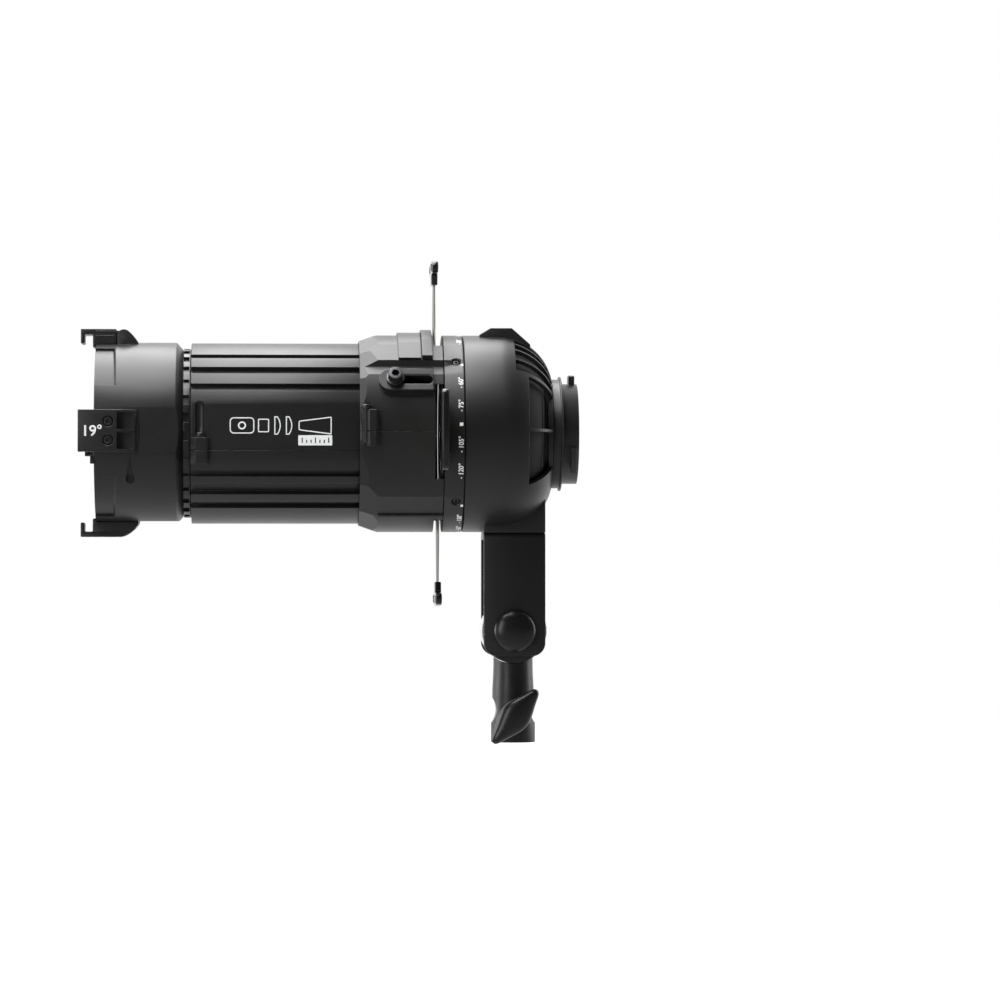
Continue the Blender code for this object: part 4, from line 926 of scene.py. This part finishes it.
def make_index_ring():
    bm = bmesh.new()
    loops = []
    steps = 2 * STEPS
    for along, inset in ((INDEX_FRONT, 0.3), (INDEX_FRONT + 0.3, 0.0), (INDEX_REAR - 0.5, 0.0),
                         (INDEX_REAR, 0.5)):
        loop = []
        for step in range(steps):
            degrees = 360 * step / steps
            radius = (index_radius(along, degrees) - inset) * MM
            angle = math.radians(degrees)
            loop.append(bm.verts.new((along * MM, radius * math.cos(angle), radius * math.sin(angle))))
        loops.append(loop)
    skin(bm, loops, steps)
    bm.faces.new(loops[0])
    bm.faces.new(loops[-1])
    ring = mesh_object("index_ring_fine", bm, OPTICAL_ORIGIN)
    join(ring, rod("spigot", 52.1, INDEX_REAR - 3, INDEX.x1, TURN_X, STEPS))
    ledge, front, rear = INDEX.x0 + 1.5, INDEX.x0 - 15.0, INDEX.x1 + 20.0
    profile = [(front, 0), (front, 50.6), (ledge, 50.6), (ledge, 48.5), (rear, 48.5), (rear, 0)]
    tools = [lathe("index_bore", profile, ease=0.0)]
    for index in range(4):
        middle = Vector(Extent("index_screw_%d" % (index + 1)).middle) - Vector((0, 0, AXIS_Z))
        out = Vector((0, middle.y, middle.z)).normalized()
        spot = pointing((middle.x, 0, AXIS_Z), out)
        profile = [(53.0, 0), (53.0, 2.3), (57.9, 2.3), (59.4, 3.6), (62, 3.6), (62, 0)]
        tools.append(lathe("screw_hole", profile, spot, SMALL_STEPS, 0.0))
    cut(ring, *tools)
    done(ring, "cast_black", "index_ring")


# ---------------------------------------------------------------- printed marks

def text_mesh(text, size, bold):
    curve = bpy.data.curves.new("label", "FONT")
    curve.body = text
    curve.size = size * MM
    curve.offset = bold * MM
    curve.extrude = PRINT_THICKNESS / 2 * MM
    curve.align_x = "CENTER"
    curve.align_y = "CENTER"
    obj = add_object("label", curve, Matrix.Identity(4))
    bm = bmesh.new()
    bm.from_mesh(evaluated_mesh(obj))
    bmesh.ops.remove_doubles(bm, verts=bm.verts, dist=0.000001)
    bpy.data.objects.remove(obj, do_unlink=True)
    return bm


def rectangle_mesh(width, height):
    bm = bmesh.new()
    size = Matrix.Diagonal((width * MM, height * MM, PRINT_THICKNESS * MM, 1))
    bmesh.ops.create_cube(bm, size=1.0, matrix=size)
    return bm


def wrapped(name, bm, along, degrees):
    """Lay flat marks on the index ring, reading upwards on the near side."""
    for vertex in bm.verts:
        across, up, height = (value / MM for value in vertex.co)
        angle = degrees + math.degrees(across / INDEX_RADIUS)
        radius = index_radius(along - up, angle) + height + PRINT_THICKNESS / 2
        turn = math.radians(angle)
        vertex.co = Vector(((along - up) * MM, -radius * math.cos(turn) * MM, radius * math.sin(turn) * MM))
    return done(mesh_object(name, bm, OPTICAL_ORIGIN), "print_white", body="gate")


def make_scale():
    """Angle scale round the index ring: four labels each side of a square, and a tick by each screw."""
    along = INDEX_REAR - 2.1
    quarters = ((0, ("120", "105", "75", "60")), (90, ("30", "15", "15", "30")),
                (180, ("60", "75", "105", "120")), (270, ("150", "165", "165", "150")))
    offsets = (-26.4, -10.4, 12.2, 26.6)
    for quarter, labels in quarters:
        middle = quarter + 4.0
        for label, offset in zip(labels, offsets):
            bm = text_mesh(label + "°", 4.0, 0.06)
            wrapped("scale_%s_at_%d" % (label, round(middle + offset)), bm, along, middle + offset)
            wrapped("scale_dot_at_%d" % round(middle + offset), rectangle_mesh(0.7, 0.7), along + 0.2,
                    middle + offset - (5.4 if len(label) > 2 else 4.2))
        wrapped("scale_square_%d" % quarter, rectangle_mesh(2.0, 2.0), along, middle)
        wrapped("scale_tick_%d" % quarter, rectangle_mesh(1.7, 1.4), along + 0.9, quarter + 42.3)


def inset(points, distance):
    """Convex outline moved inwards by a distance."""
    result = []
    for index, corner in enumerate(points):
        before = (Vector(corner) - Vector(points[index - 1])).normalized()
        after = (Vector(points[(index + 1) % len(points)]) - Vector(corner)).normalized()
        inward = (Vector((-before.y, before.x)) + Vector((-after.y, after.x)))
        result.append(tuple(Vector(corner) + inward * distance / (1 + before.dot(after))))
    return result


def rounded_box(left, low, right, high, radius):
    corners = ((right, high, 0), (left, high, 90), (left, low, 180), (right, low, 270))
    points = []
    for x, z, start in corners:
        centre = (x - radius if x == right else x + radius, z - radius if z == high else z + radius)
        points += arc(radius, start, start + 90, 6, centre)
    return points


def make_panel_mark():
    """Pictogram of a profile spotlight on the barrel's side panel, with a scale tag below it."""
    face = BARREL_FLAT - 0.01
    left = BARREL.x0 + 23.0
    stroke = 0.65
    lens_left = arc(9.0, -37, 37, 14, (left + 21.0, 3.4)) + [(left + 26.2, 8.8), (left + 26.2, -2.0)]
    lens_right = arc(9.0, -37, 37, 14, (left + 27.8, 3.4)) + [(left + 33.0, 8.8), (left + 33.0, -2.0)]
    beam = [(left + 40.5, 0.6), (left + 60.0, -1.9), (left + 60.0, 8.7), (left + 40.5, 6.2)]
    shapes = {
        "housing": rounded_box(left, -1.4, left + 14.5, 8.2, 2.4),
        "gate": rounded_box(left + 16.6, -0.6, left + 23.2, 7.4, 0.8),
        "rear_lens": lens_left,
        "front_lens": lens_right,
        "beam": eased(beam, 0.8),
    }
    bodies = [[outline, inset(outline, stroke)] for outline in shapes.values()]
    left_tag, low_tag = left + 40.3, -8.3
    tag = [rounded_box(left_tag, low_tag, left_tag + 20.0, low_tag + 6.0, 0.4)]
    for index in range(7):
        x = left_tag + 2.0 + index * 2.6
        top = low_tag + (4.6 if index % 3 == 0 else 3.4)
        tag.append([(x, low_tag + 1.4), (x + 0.7, low_tag + 1.4), (x + 0.7, top), (x, top)])
    middle = (left + 7.2, 3.4)
    lamp = [arc(2.4, 0, 345, 24, middle), arc(1.5, 345, 0, 24, middle)]
    for name, outlines in zip(list(shapes) + ["tag", "lamp"], bodies + [tag, lamp]):
        mark = prism("panel_mark_" + name, outlines, face, face + PRINT_THICKNESS, PROFILE_Y, 0.0)
        done(mark, "print_white", body="lens_tube")


def make_claw_mark():
    bm = text_mesh("19°", 8.8, 0.16)
    place = shift(CLAW.x0 + 8.4, -CLAW_RADIUS - 0.02, AXIS_Z - 0.4) @ STAND_Y
    done(mesh_object("claw_mark_19", bm, place), "print_white", body="lens_tube")


# ---------------------------------------------------------------- rear housing

def dome(radius, opening, count):
    fillet_centre = (-9.5, GATE_RADIUS - 33.0)
    fillet = radius - fillet_centre[1]
    low = math.degrees(math.asin((opening - fillet_centre[1]) / fillet))
    return arc(fillet, 90, low, count, fillet_centre)


def make_rear_housing():
    front = HOUSING.x0
    tube = 32.7
    opening = tube + 0.4
    outer = dome(GATE_RADIUS, opening, 34)
    solid = [(front, 0), (front, GATE_RADIUS - 0.5), (front + 0.5, GATE_RADIUS)] + outer
    solid += [(outer[-1][0], 0)]
    housing = lathe("rear_housing_fine", solid, ease=0.2)
    top = HOUSING.z1 - AXIS_Z
    lug = [(-20.9, 50.0), (-20.9, top - 4.1), (-14.2, top), (-1.4, top), (9.7, top - 9.8), (9.7, 44.0)]
    boss_low = BRACKET.z1 + 0.02 - AXIS_Z
    boss = block("bottom_boss", (BRACKET.x0, BRACKET.y0, boss_low), (BRACKET.x1, BRACKET.y1, -30.0),
                 edge=0.5)
    join(housing, prism("top_lug", [eased(lug, 0.5)], -14.0, 14.0, PROFILE_Y, 0.5), boss)
    inner_radius = GATE_RADIUS - 2.5
    cavity = [(front - 5, 0), (front - 5, inner_radius)] + dome(inner_radius, opening, 24)
    cavity += [(40.0, opening), (40.0, 0)]
    tools = [lathe("housing_cavity", cavity, ease=0.0)]
    fins = (39.0, 49.0, 59.0, 67.0, 75.0)
    fin_half = 0.7
    openings = [(low + fin_half, high - fin_half, -0.5) for low, high in zip(fins, fins[1:])]
    openings += [(2.2, 37.0, 7.0), (-35.0, 0.0, 7.0)]
    for start, end, forward in openings:
        for first, last in ((start, end), (180 - end, 180 - start)):
            count = max(4, int((last - first) / 1.5))
            outline = eased(sector(35.5, 70.0, first, last, count), 0.6)
            tools.append(prism("opening", [outline], forward, 30.0, SECTION_X, 0.0))
    for name in ("bracket_screw_front", "bracket_screw_rear"):
        place = shift(Extent(name).middle[0])
        tools.append(rod("boss_hole", 2.2, 120.0, 127.6, place))
    cut(housing, *tools)
    done(housing, "cast_black", "rear_housing")


def make_vent_shade_sheet():
    """Very dark inner screen behind the vents: painted shade that stands in for the shadow in their depth and
    blocks the view through them.
    """
    outer, inner = GATE_RADIUS - 4.6, GATE_RADIUS - 5.4
    opening = 34.2
    profile = [(-8.0, outer)] + dome(outer, opening, 24) + dome(inner, opening, 24)[::-1] + [(-8.0, inner)]
    done(lathe("vent_shade_sheet", profile, ease=0.0), "sooty_black", body="head")


def make_mount_tube():
    bore, tube = 27.5, 32.7
    profile = [(TUBE.x0, bore), (TUBE.x0, 40.0), (TUBE.x0 + 2, 40.0), (TUBE.x0 + 2, tube), (20.6, tube),
               (20.6, tube - 0.5), (21.4, tube - 0.5), (21.4, tube), (27.2, tube), (27.2, 34.3), (28.4, 34.3),
               (28.4, 30.0), (TUBE.x1, 30.0), (TUBE.x1, bore)]
    mount = lathe("mount_tube_fine", profile, ease=0.3)
    join(mount, *[prism("lug", [sector(28.8, 35.2, middle - 13, middle + 13)], 33.0, 36.5, SECTION_X, 0.3)
                  for middle in (90, 210, 330)])
    cut(mount, *[lathe("thread_relief", [(along, bore - 1), (along, bore + 0.5), (along + 0.8, bore + 0.5),
                                         (along + 0.8, bore - 1)], ease=0.0)
                 for along in (20.0, 22.0, 24.0, 26.0)])
    done(mount, "cast_black", "mount_tube")


def make_condenser():
    holder, inner = Extent("condenser_holder"), 34.6
    profile = [(holder.x0, 33.0), (holder.x0, holder.y1), (holder.x1, holder.y1), (holder.x1, 30.0),
               (holder.x1 - 2.0, 30.0), (holder.x1 - 2.0, inner), (holder.x0 + 2.4, inner),
               (holder.x0 + 2.4, 33.0)]
    done(lathe("condenser_holder_fine", profile), "cast_black", "condenser_holder")
    lens = [(-6.4, 0), (-6.3, 4), (-6.2, 8), (-5.6, 15), (-4.9, 19), (-4.3, 23), (-2.6, 29), (-1.0, 32),
            (-1.0, 34.2), (1.6, 34.2), (1.6, 32), (3.2, 29), (4.7, 25), (6.0, 20), (6.9, 15.5), (7.6, 11),
            (8.1, 5), (8.2, 0)]
    done(lathe("condenser_lens_fine", lens, ease=0.1), "optical_glass", "condenser_lens")
    plain_ring("bearing_ring", 52.5, "bright_alloy")
    plain_ring("retaining_ring", 48.5, "bright_alloy")
    plain_ring("gate_front_plate", 26.0, "stainless", 0.1)
    plain_ring("gate_rear_plate", 26.0, "stainless", 0.1)


# ---------------------------------------------------------------- yoke and stand receiver

def make_bracket():
    half_x, half_y, leg = BRACKET.x1, BRACKET.y1, 4.0
    top, foot = BRACKET.z1, BRACKET.z0
    right = [(half_y - leg, foot), (half_y, foot)] + arc(3.0, 0, 90, 10, (half_y - 3.0, top - 3.0))
    inner = arc(1.5, 90, 0, 6, (half_y - leg - 1.5, top - leg - 1.5))
    outline = mirrored(right) + [(-across, up) for across, up in reversed(inner)] + inner
    section = OPTICAL_ORIGIN.inverted() @ SECTION_X
    bracket = prism("u_bracket_fine", [outline], -half_x, half_x, section, 0.0)
    corner = 8.0
    blank = arc(corner, 180, 270, 16, (-half_x + corner, foot + corner))
    blank += arc(corner, 270, 360, 16, (half_x - corner, foot + corner))
    beyond = half_x + 1
    blank += [(beyond, top - 20), (beyond, top + 1), (-beyond, top + 1), (-beyond, top - 20)]
    combine(bracket, [prism("blank", [blank], -30, 30, STAND_Y, 0.0)], "INTERSECT")
    bevelled(bracket, 0.45)
    tools = [rod("axle_hole", 5.0, -30, 30, TILT_Y)]
    for name in ("bracket_screw_front", "bracket_screw_rear"):
        place = shift(Extent(name).middle[0])
        tools.append(rod("screw_hole", 2.2, 110, 130, place))
    cut(bracket, *tools)
    done(bracket, "cast_black", "u_bracket")


def make_tilt_parts():
    radius, edge = (KNUCKLE.x1 - KNUCKLE.x0) / 2, KNUCKLE.y1
    profile = [(-edge, 5.0), (-edge, radius), (edge, radius), (edge, 5.0)]
    knuckle = lathe("tilt_knuckle_fine", profile, TILT_Y, STEPS, 0.6)
    saddle = lathe("tilt_saddle_fine", profile, TILT_Y, STEPS, 0.6)
    painted = TILT_Z - 9.5
    cut(knuckle, block("below", (-30, -30, painted - 40), (30, 30, painted + 0.1), Matrix.Identity(4)))
    cut(saddle, block("above", (-30, -30, painted), (30, 30, painted + 60), Matrix.Identity(4)))
    done(knuckle, "bright_alloy", "tilt_knuckle")
    done(saddle, "cast_black", "tilt_knuckle")
    bolt = Extent("tilt_bolt")
    done(rod("tilt_bolt_fine", 4.7, -bolt.y1, -bolt.y0, TILT_Y, ease=0.4), "bright_alloy", "tilt_bolt")
    cap = Extent("tilt_cap")
    back, rim, crown = -cap.y1, (cap.x1 - cap.x0) / 2, -cap.y0
    foot = back + 1.0
    profile = [(back, 0), (back, rim), (foot, rim)]
    for angle in [math.radians(degrees) for degrees in range(6, 90, 6)]:
        profile.append((foot + (crown - foot) * math.sin(angle), rim * math.cos(angle) ** 0.9))
    done(lathe("tilt_cap_fine", profile + [(crown, 0)], TILT_Y, 96, 0.1), "moulded_black", "tilt_cap")
    knob = Extent("tilt_lock_knob")
    outline = []
    for step in range(120):
        angle = 2 * math.pi * step / 120
        reach = 13.0 + 1.1 * math.cos(6 * angle)
        outline.append((reach * math.cos(angle), reach * math.sin(angle)))
    body = prism("tilt_lock_knob_fine", [outline], -knob.y1, -24.0, TILT_Y, 1.0)
    join(body, rod("knob_hub", 9.0, -24.5, -knob.y0, TILT_Y, 72, 0.3))
    cut(body, rod("knob_bore", 5.0, -29.4, 0, TILT_Y),
        lathe("knob_dish", [(-36.0, 0), (-36.0, 8.6), (-34.2, 8.2), (-34.2, 0)], TILT_Y, 72, 0.2))
    done(body, "moulded_black", "tilt_lock_knob")


def make_receiver():
    collar, stem = STEM.x1, STEM.x1 - 0.6
    socket, socket_depth, waist = 8.1, 35.0, 18.0
    profile = [(socket_depth, 0), (socket_depth, socket), (0, socket), (0, collar), (11.4, collar),
               (13.0, stem - 0.2), (28.0, stem - 0.2)]
    for step in (4, 8, 12, 18):
        profile.append((28.0 + step, stem - 0.2 - 0.7 * math.sin(math.pi / 2 * step / waist) ** 2))
    profile += [(56.0, stem - 0.9), (56.0, 0)]
    receiver = lathe("stand_receiver_fine", profile, Matrix.Identity(4), STEPS, 0.35)
    tools = [rod("saddle", (KNUCKLE.x1 - KNUCKLE.x0) / 2 + GAP, -30, 30, TILT_Y, STEPS)]
    scoop = 12.1
    for side in (-1, 1):
        place = shift(side * (stem - 2.6 + scoop), 0, 19.5) @ STAND_Y
        tools.append(rod("scoop", scoop, -30, 30, place, 96))
    cut(receiver, *tools)
    join(receiver, rod("clamp_boss", 6.2, 9.5, 15.0, CLAMP_Y, ease=0.3))
    cut(receiver, rod("clamp_hole", 3.4, 4, 20, CLAMP_Y))
    done(receiver, "cast_black", "stand_receiver")


def make_clamp_knob():
    """Twisted wing: a lofted diamond with hollow flanks and round tips on a turned hub."""
    place = CLAMP_Y @ Matrix.Rotation(math.radians(50), 4, "Z")
    half_length = 20.6
    stations, around = 40, 40
    bm = bmesh.new()
    loops = []
    for station in range(stations + 1):
        along = math.cos(math.pi * station / stations)
        swell = math.cos(math.pi / 2 * along) ** 2
        tip = math.sqrt(max(0.0, 1 - abs(along) ** 9))
        width = (3.4 + 5.6 * swell) * tip
        thickness = (3.0 + 1.9 * swell) * tip
        lean = math.radians(24 * along)
        loop = []
        for step in range(around):
            angle = 2 * math.pi * step / around
            across = width * math.copysign(abs(math.cos(angle)) ** 0.85, math.cos(angle))
            out = thickness * math.copysign(abs(math.sin(angle)) ** 1.1, math.sin(angle))
            turned = (across * math.cos(lean) - out * math.sin(lean),
                      across * math.sin(lean) + out * math.cos(lean))
            loop.append((along * half_length * MM, turned[0] * MM, (24.3 + turned[1]) * MM))
        loops.append(loop)
    rings = [[bm.verts.new(loops[0][0])]]
    rings += [[bm.verts.new(point) for point in loop] for loop in loops[1:-1]]
    rings.append([bm.verts.new(loops[-1][0])])
    skin(bm, rings, around)
    wing = mesh_object("clamp_knob_fine", bm, place)
    join(wing, lathe("clamp_hub", [(15.4, 0), (15.4, 6.0), (19.0, 7.0), (25.0, 7.0), (27.5, 4.0), (27.5, 0)],
                     place, 72, 0.5),
         rod("clamp_shank", 3.0, 8.6, 16.5, place))
    done(wing, "moulded_black", "clamp_knob", angle=50)


# ---------------------------------------------------------------- shutters

def make_handle(side):
    """Moulded T handle: a short neck and a wide rounded grip, with a ring and two pads on each face."""
    node = "shutter_handle_" + side
    place = around_axis(SIDES[side]) @ SECTION_X
    extent = Extent(node)
    plane, half = extent.middle[0], (extent.x1 - extent.x0) / 2
    foot, tip = 88.8, 103.5
    neck, grip, low = 11.0, 23.5, foot + 6.6
    right = [(neck - 0.7, foot)] + curve_to((neck - 0.3, low - 2.6), (neck, low), (neck + 3.0, low), 7)
    right += arc(2.8, -90, 0, 9, (grip - 2.8, low + 2.8)) + arc(3.6, 5, 80, 9, (grip - 3.6, tip - 4.6))
    right += [(8.0, tip)]
    handle = prism(node + "_fine", [mirrored(right)], plane - half, plane + half, place, 0.7)
    centre = (low + tip) / 2
    cutters = [block("blade_slot", (-8.3, foot - 2, plane - 0.6), (8.3, foot + 5.3, plane + 0.6), place)]
    for face in (-1, 1):
        ends = sorted((plane + face * (half - 0.35), plane + face * (half + 1)))
        for x_side in (-1, 1):
            pad = [(5.6, low + 1.5), (grip - 2.4, low + 1.5), (grip - 2.4, tip - 2.6), (5.6, tip - 1.7)]
            pad = [(x_side * across, up) for across, up in eased(pad, 1.0)]
            cutters.append(prism("pad", [pad], ends[0], ends[1], place, 0.0))
        ring = [arc(3.0, 0, 350, 36, (0, centre)), arc(2.1, 350, 0, 36, (0, centre))]
        cutters.append(prism("ring", ring, ends[0], ends[1], place, 0.0))
    cut(handle, *cutters)
    done(handle, "gloss_black", node)


# ---------------------------------------------------------------- stage, lights and camera

def area_light(name, place, target, size, power):
    data = bpy.data.lights.new(name, "AREA")
    data.shape = "RECTANGLE"
    data.size, data.size_y = size
    data.energy = power
    light = bpy.data.objects.new(name, data)
    light.location = place
    light.visible_camera = False
    light.rotation_euler = (Vector(target) - Vector(place)).to_track_quat("-Z", "Y").to_euler()
    bpy.context.scene.collection.objects.link(light)


def make_stage():
    """Pale floor well below the object; it glows behind it, so that the studio stays white."""
    bm = bmesh.new()
    bmesh.ops.create_grid(bm, x_segments=1, y_segments=1, size=30.0)
    floor = mesh_object("floor", bm, Matrix.Translation((0, 0, CAD_BOUNDS[0].z - 1.0)))
    graph = Graph("pale_floor")
    tone = graph.ramped(graph.noise(900.0, 1.0), 0.3, 0.7)
    behind = graph.add("SeparateXYZ", {"Vector": graph.coordinates}).outputs["Y"]
    graph.feed(graph.shader, {
        "Base Color": graph.mixed(tone, (0.51, 0.51, 0.51, 1), (0.53, 0.53, 0.53, 1)), "Roughness": 0.8,
        "Emission Color": (1, 1, 1, 1), "Emission Strength": graph.ramped(behind, -0.4, 2.6, 0.05, 0.95)})
    floor.data.materials.append(graph.material)


def make_world():
    """White studio: bright behind the object and overhead, dimmer on the viewer's side."""
    world = bpy.data.worlds.new("studio")
    bpy.context.scene.world = world
    world.use_nodes = True
    nodes, links = world.node_tree.nodes, world.node_tree.links
    background = nodes["Background"]
    split = nodes.new("ShaderNodeSeparateXYZ")
    links.new(nodes.new("ShaderNodeTexCoord").outputs["Generated"], split.inputs[0])
    depth = nodes.new("ShaderNodeMapRange")
    depth.interpolation_type = "SMOOTHSTEP"
    for name, value in (("From Min", -0.30), ("From Max", 0.75), ("To Min", 0.04), ("To Max", 1.3)):
        depth.inputs[name].default_value = value
    links.new(split.outputs["Y"], depth.inputs["Value"])
    seen = nodes.new("ShaderNodeLightPath")
    mix = nodes.new("ShaderNodeMix")
    links.new(seen.outputs["Is Camera Ray"], mix.inputs["Factor"])
    links.new(depth.outputs["Result"], mix.inputs["A"])
    mix.inputs["B"].default_value = 1.0
    links.new(mix.outputs["Result"], background.inputs["Strength"])
    background.inputs["Color"].default_value = (1, 1, 1, 1)


def make_lights():
    centre = (CAD_BOUNDS[0] + CAD_BOUNDS[1]) / 2
    area_light("top_softbox", centre + Vector((-0.10, 0.02, 0.65)), centre, (1.0, 0.42), 10.5)
    area_light("left_softbox", centre + Vector((-1.35, 0.20, 0.25)), centre, (0.7, 1.1), 11.0)
    area_light("front_left_softbox", centre + Vector((-0.95, -1.15, 0.25)), centre, (0.4, 0.9), 5.0)
    area_light("right_strip", centre + Vector((1.20, 0.30, 0.30)), centre, (0.3, 1.0), 4.0)


def make_camera():
    data = bpy.data.cameras.new("camera")
    data.lens = 170.3
    data.sensor_width = 36.0
    camera = bpy.data.objects.new("camera", data)
    place = Vector((-0.1528, -2.839, 0.1069))
    target = Vector((-0.0078, 0.0, 0.1453))
    turn = (target - place).to_track_quat("-Z", "Y").to_matrix().to_4x4()
    camera.matrix_world = Matrix.Translation(place) @ turn
    bpy.context.scene.collection.objects.link(camera)
    bpy.context.scene.camera = camera
    bpy.context.scene.view_settings.view_transform = "Standard"


def coat_remaining_nodes():
    """CAD nodes that still show take the finish of their material slot."""
    for name, obj in frame["nodes"].items():
        if not obj.hide_render:
            packed = obj.data.materials[0].name.split(".")[0]
            obj.data.materials[0] = MATERIALS[packed]
            bevel = obj.modifiers.new("bevel", "BEVEL")
            bevel.width = 0.08 * MM if name.startswith("shutter_blade") else 0.25 * MM
            bevel.segments = 2
            bevel.limit_method = "ANGLE"
            bevel.angle_limit = math.radians(50)


make_camera()
make_hood()
for claw_side in ("near", "bottom", "far"):
    make_claw(claw_side)
make_latch()
make_lenses()
make_neck()
make_barrel_shell(1)
make_barrel_shell(-1)
make_gate_shell(1)
make_gate_shell(-1)
make_slot_cover("gobo_cover", GOBO_SLOT, 60.7)
make_slot_cover("iris_cover", IRIS_SLOT, 62.4)
make_focus_parts()
make_index_ring()
make_scale()
make_panel_mark()
make_claw_mark()
make_rear_housing()
make_vent_shade_sheet()
make_mount_tube()
make_condenser()
make_bracket()
make_tilt_parts()
make_receiver()
make_clamp_knob()
for handle_side in SIDES:
    make_handle(handle_side)
make_screws()
coat_remaining_nodes()
make_stage()
make_world()
make_lights()
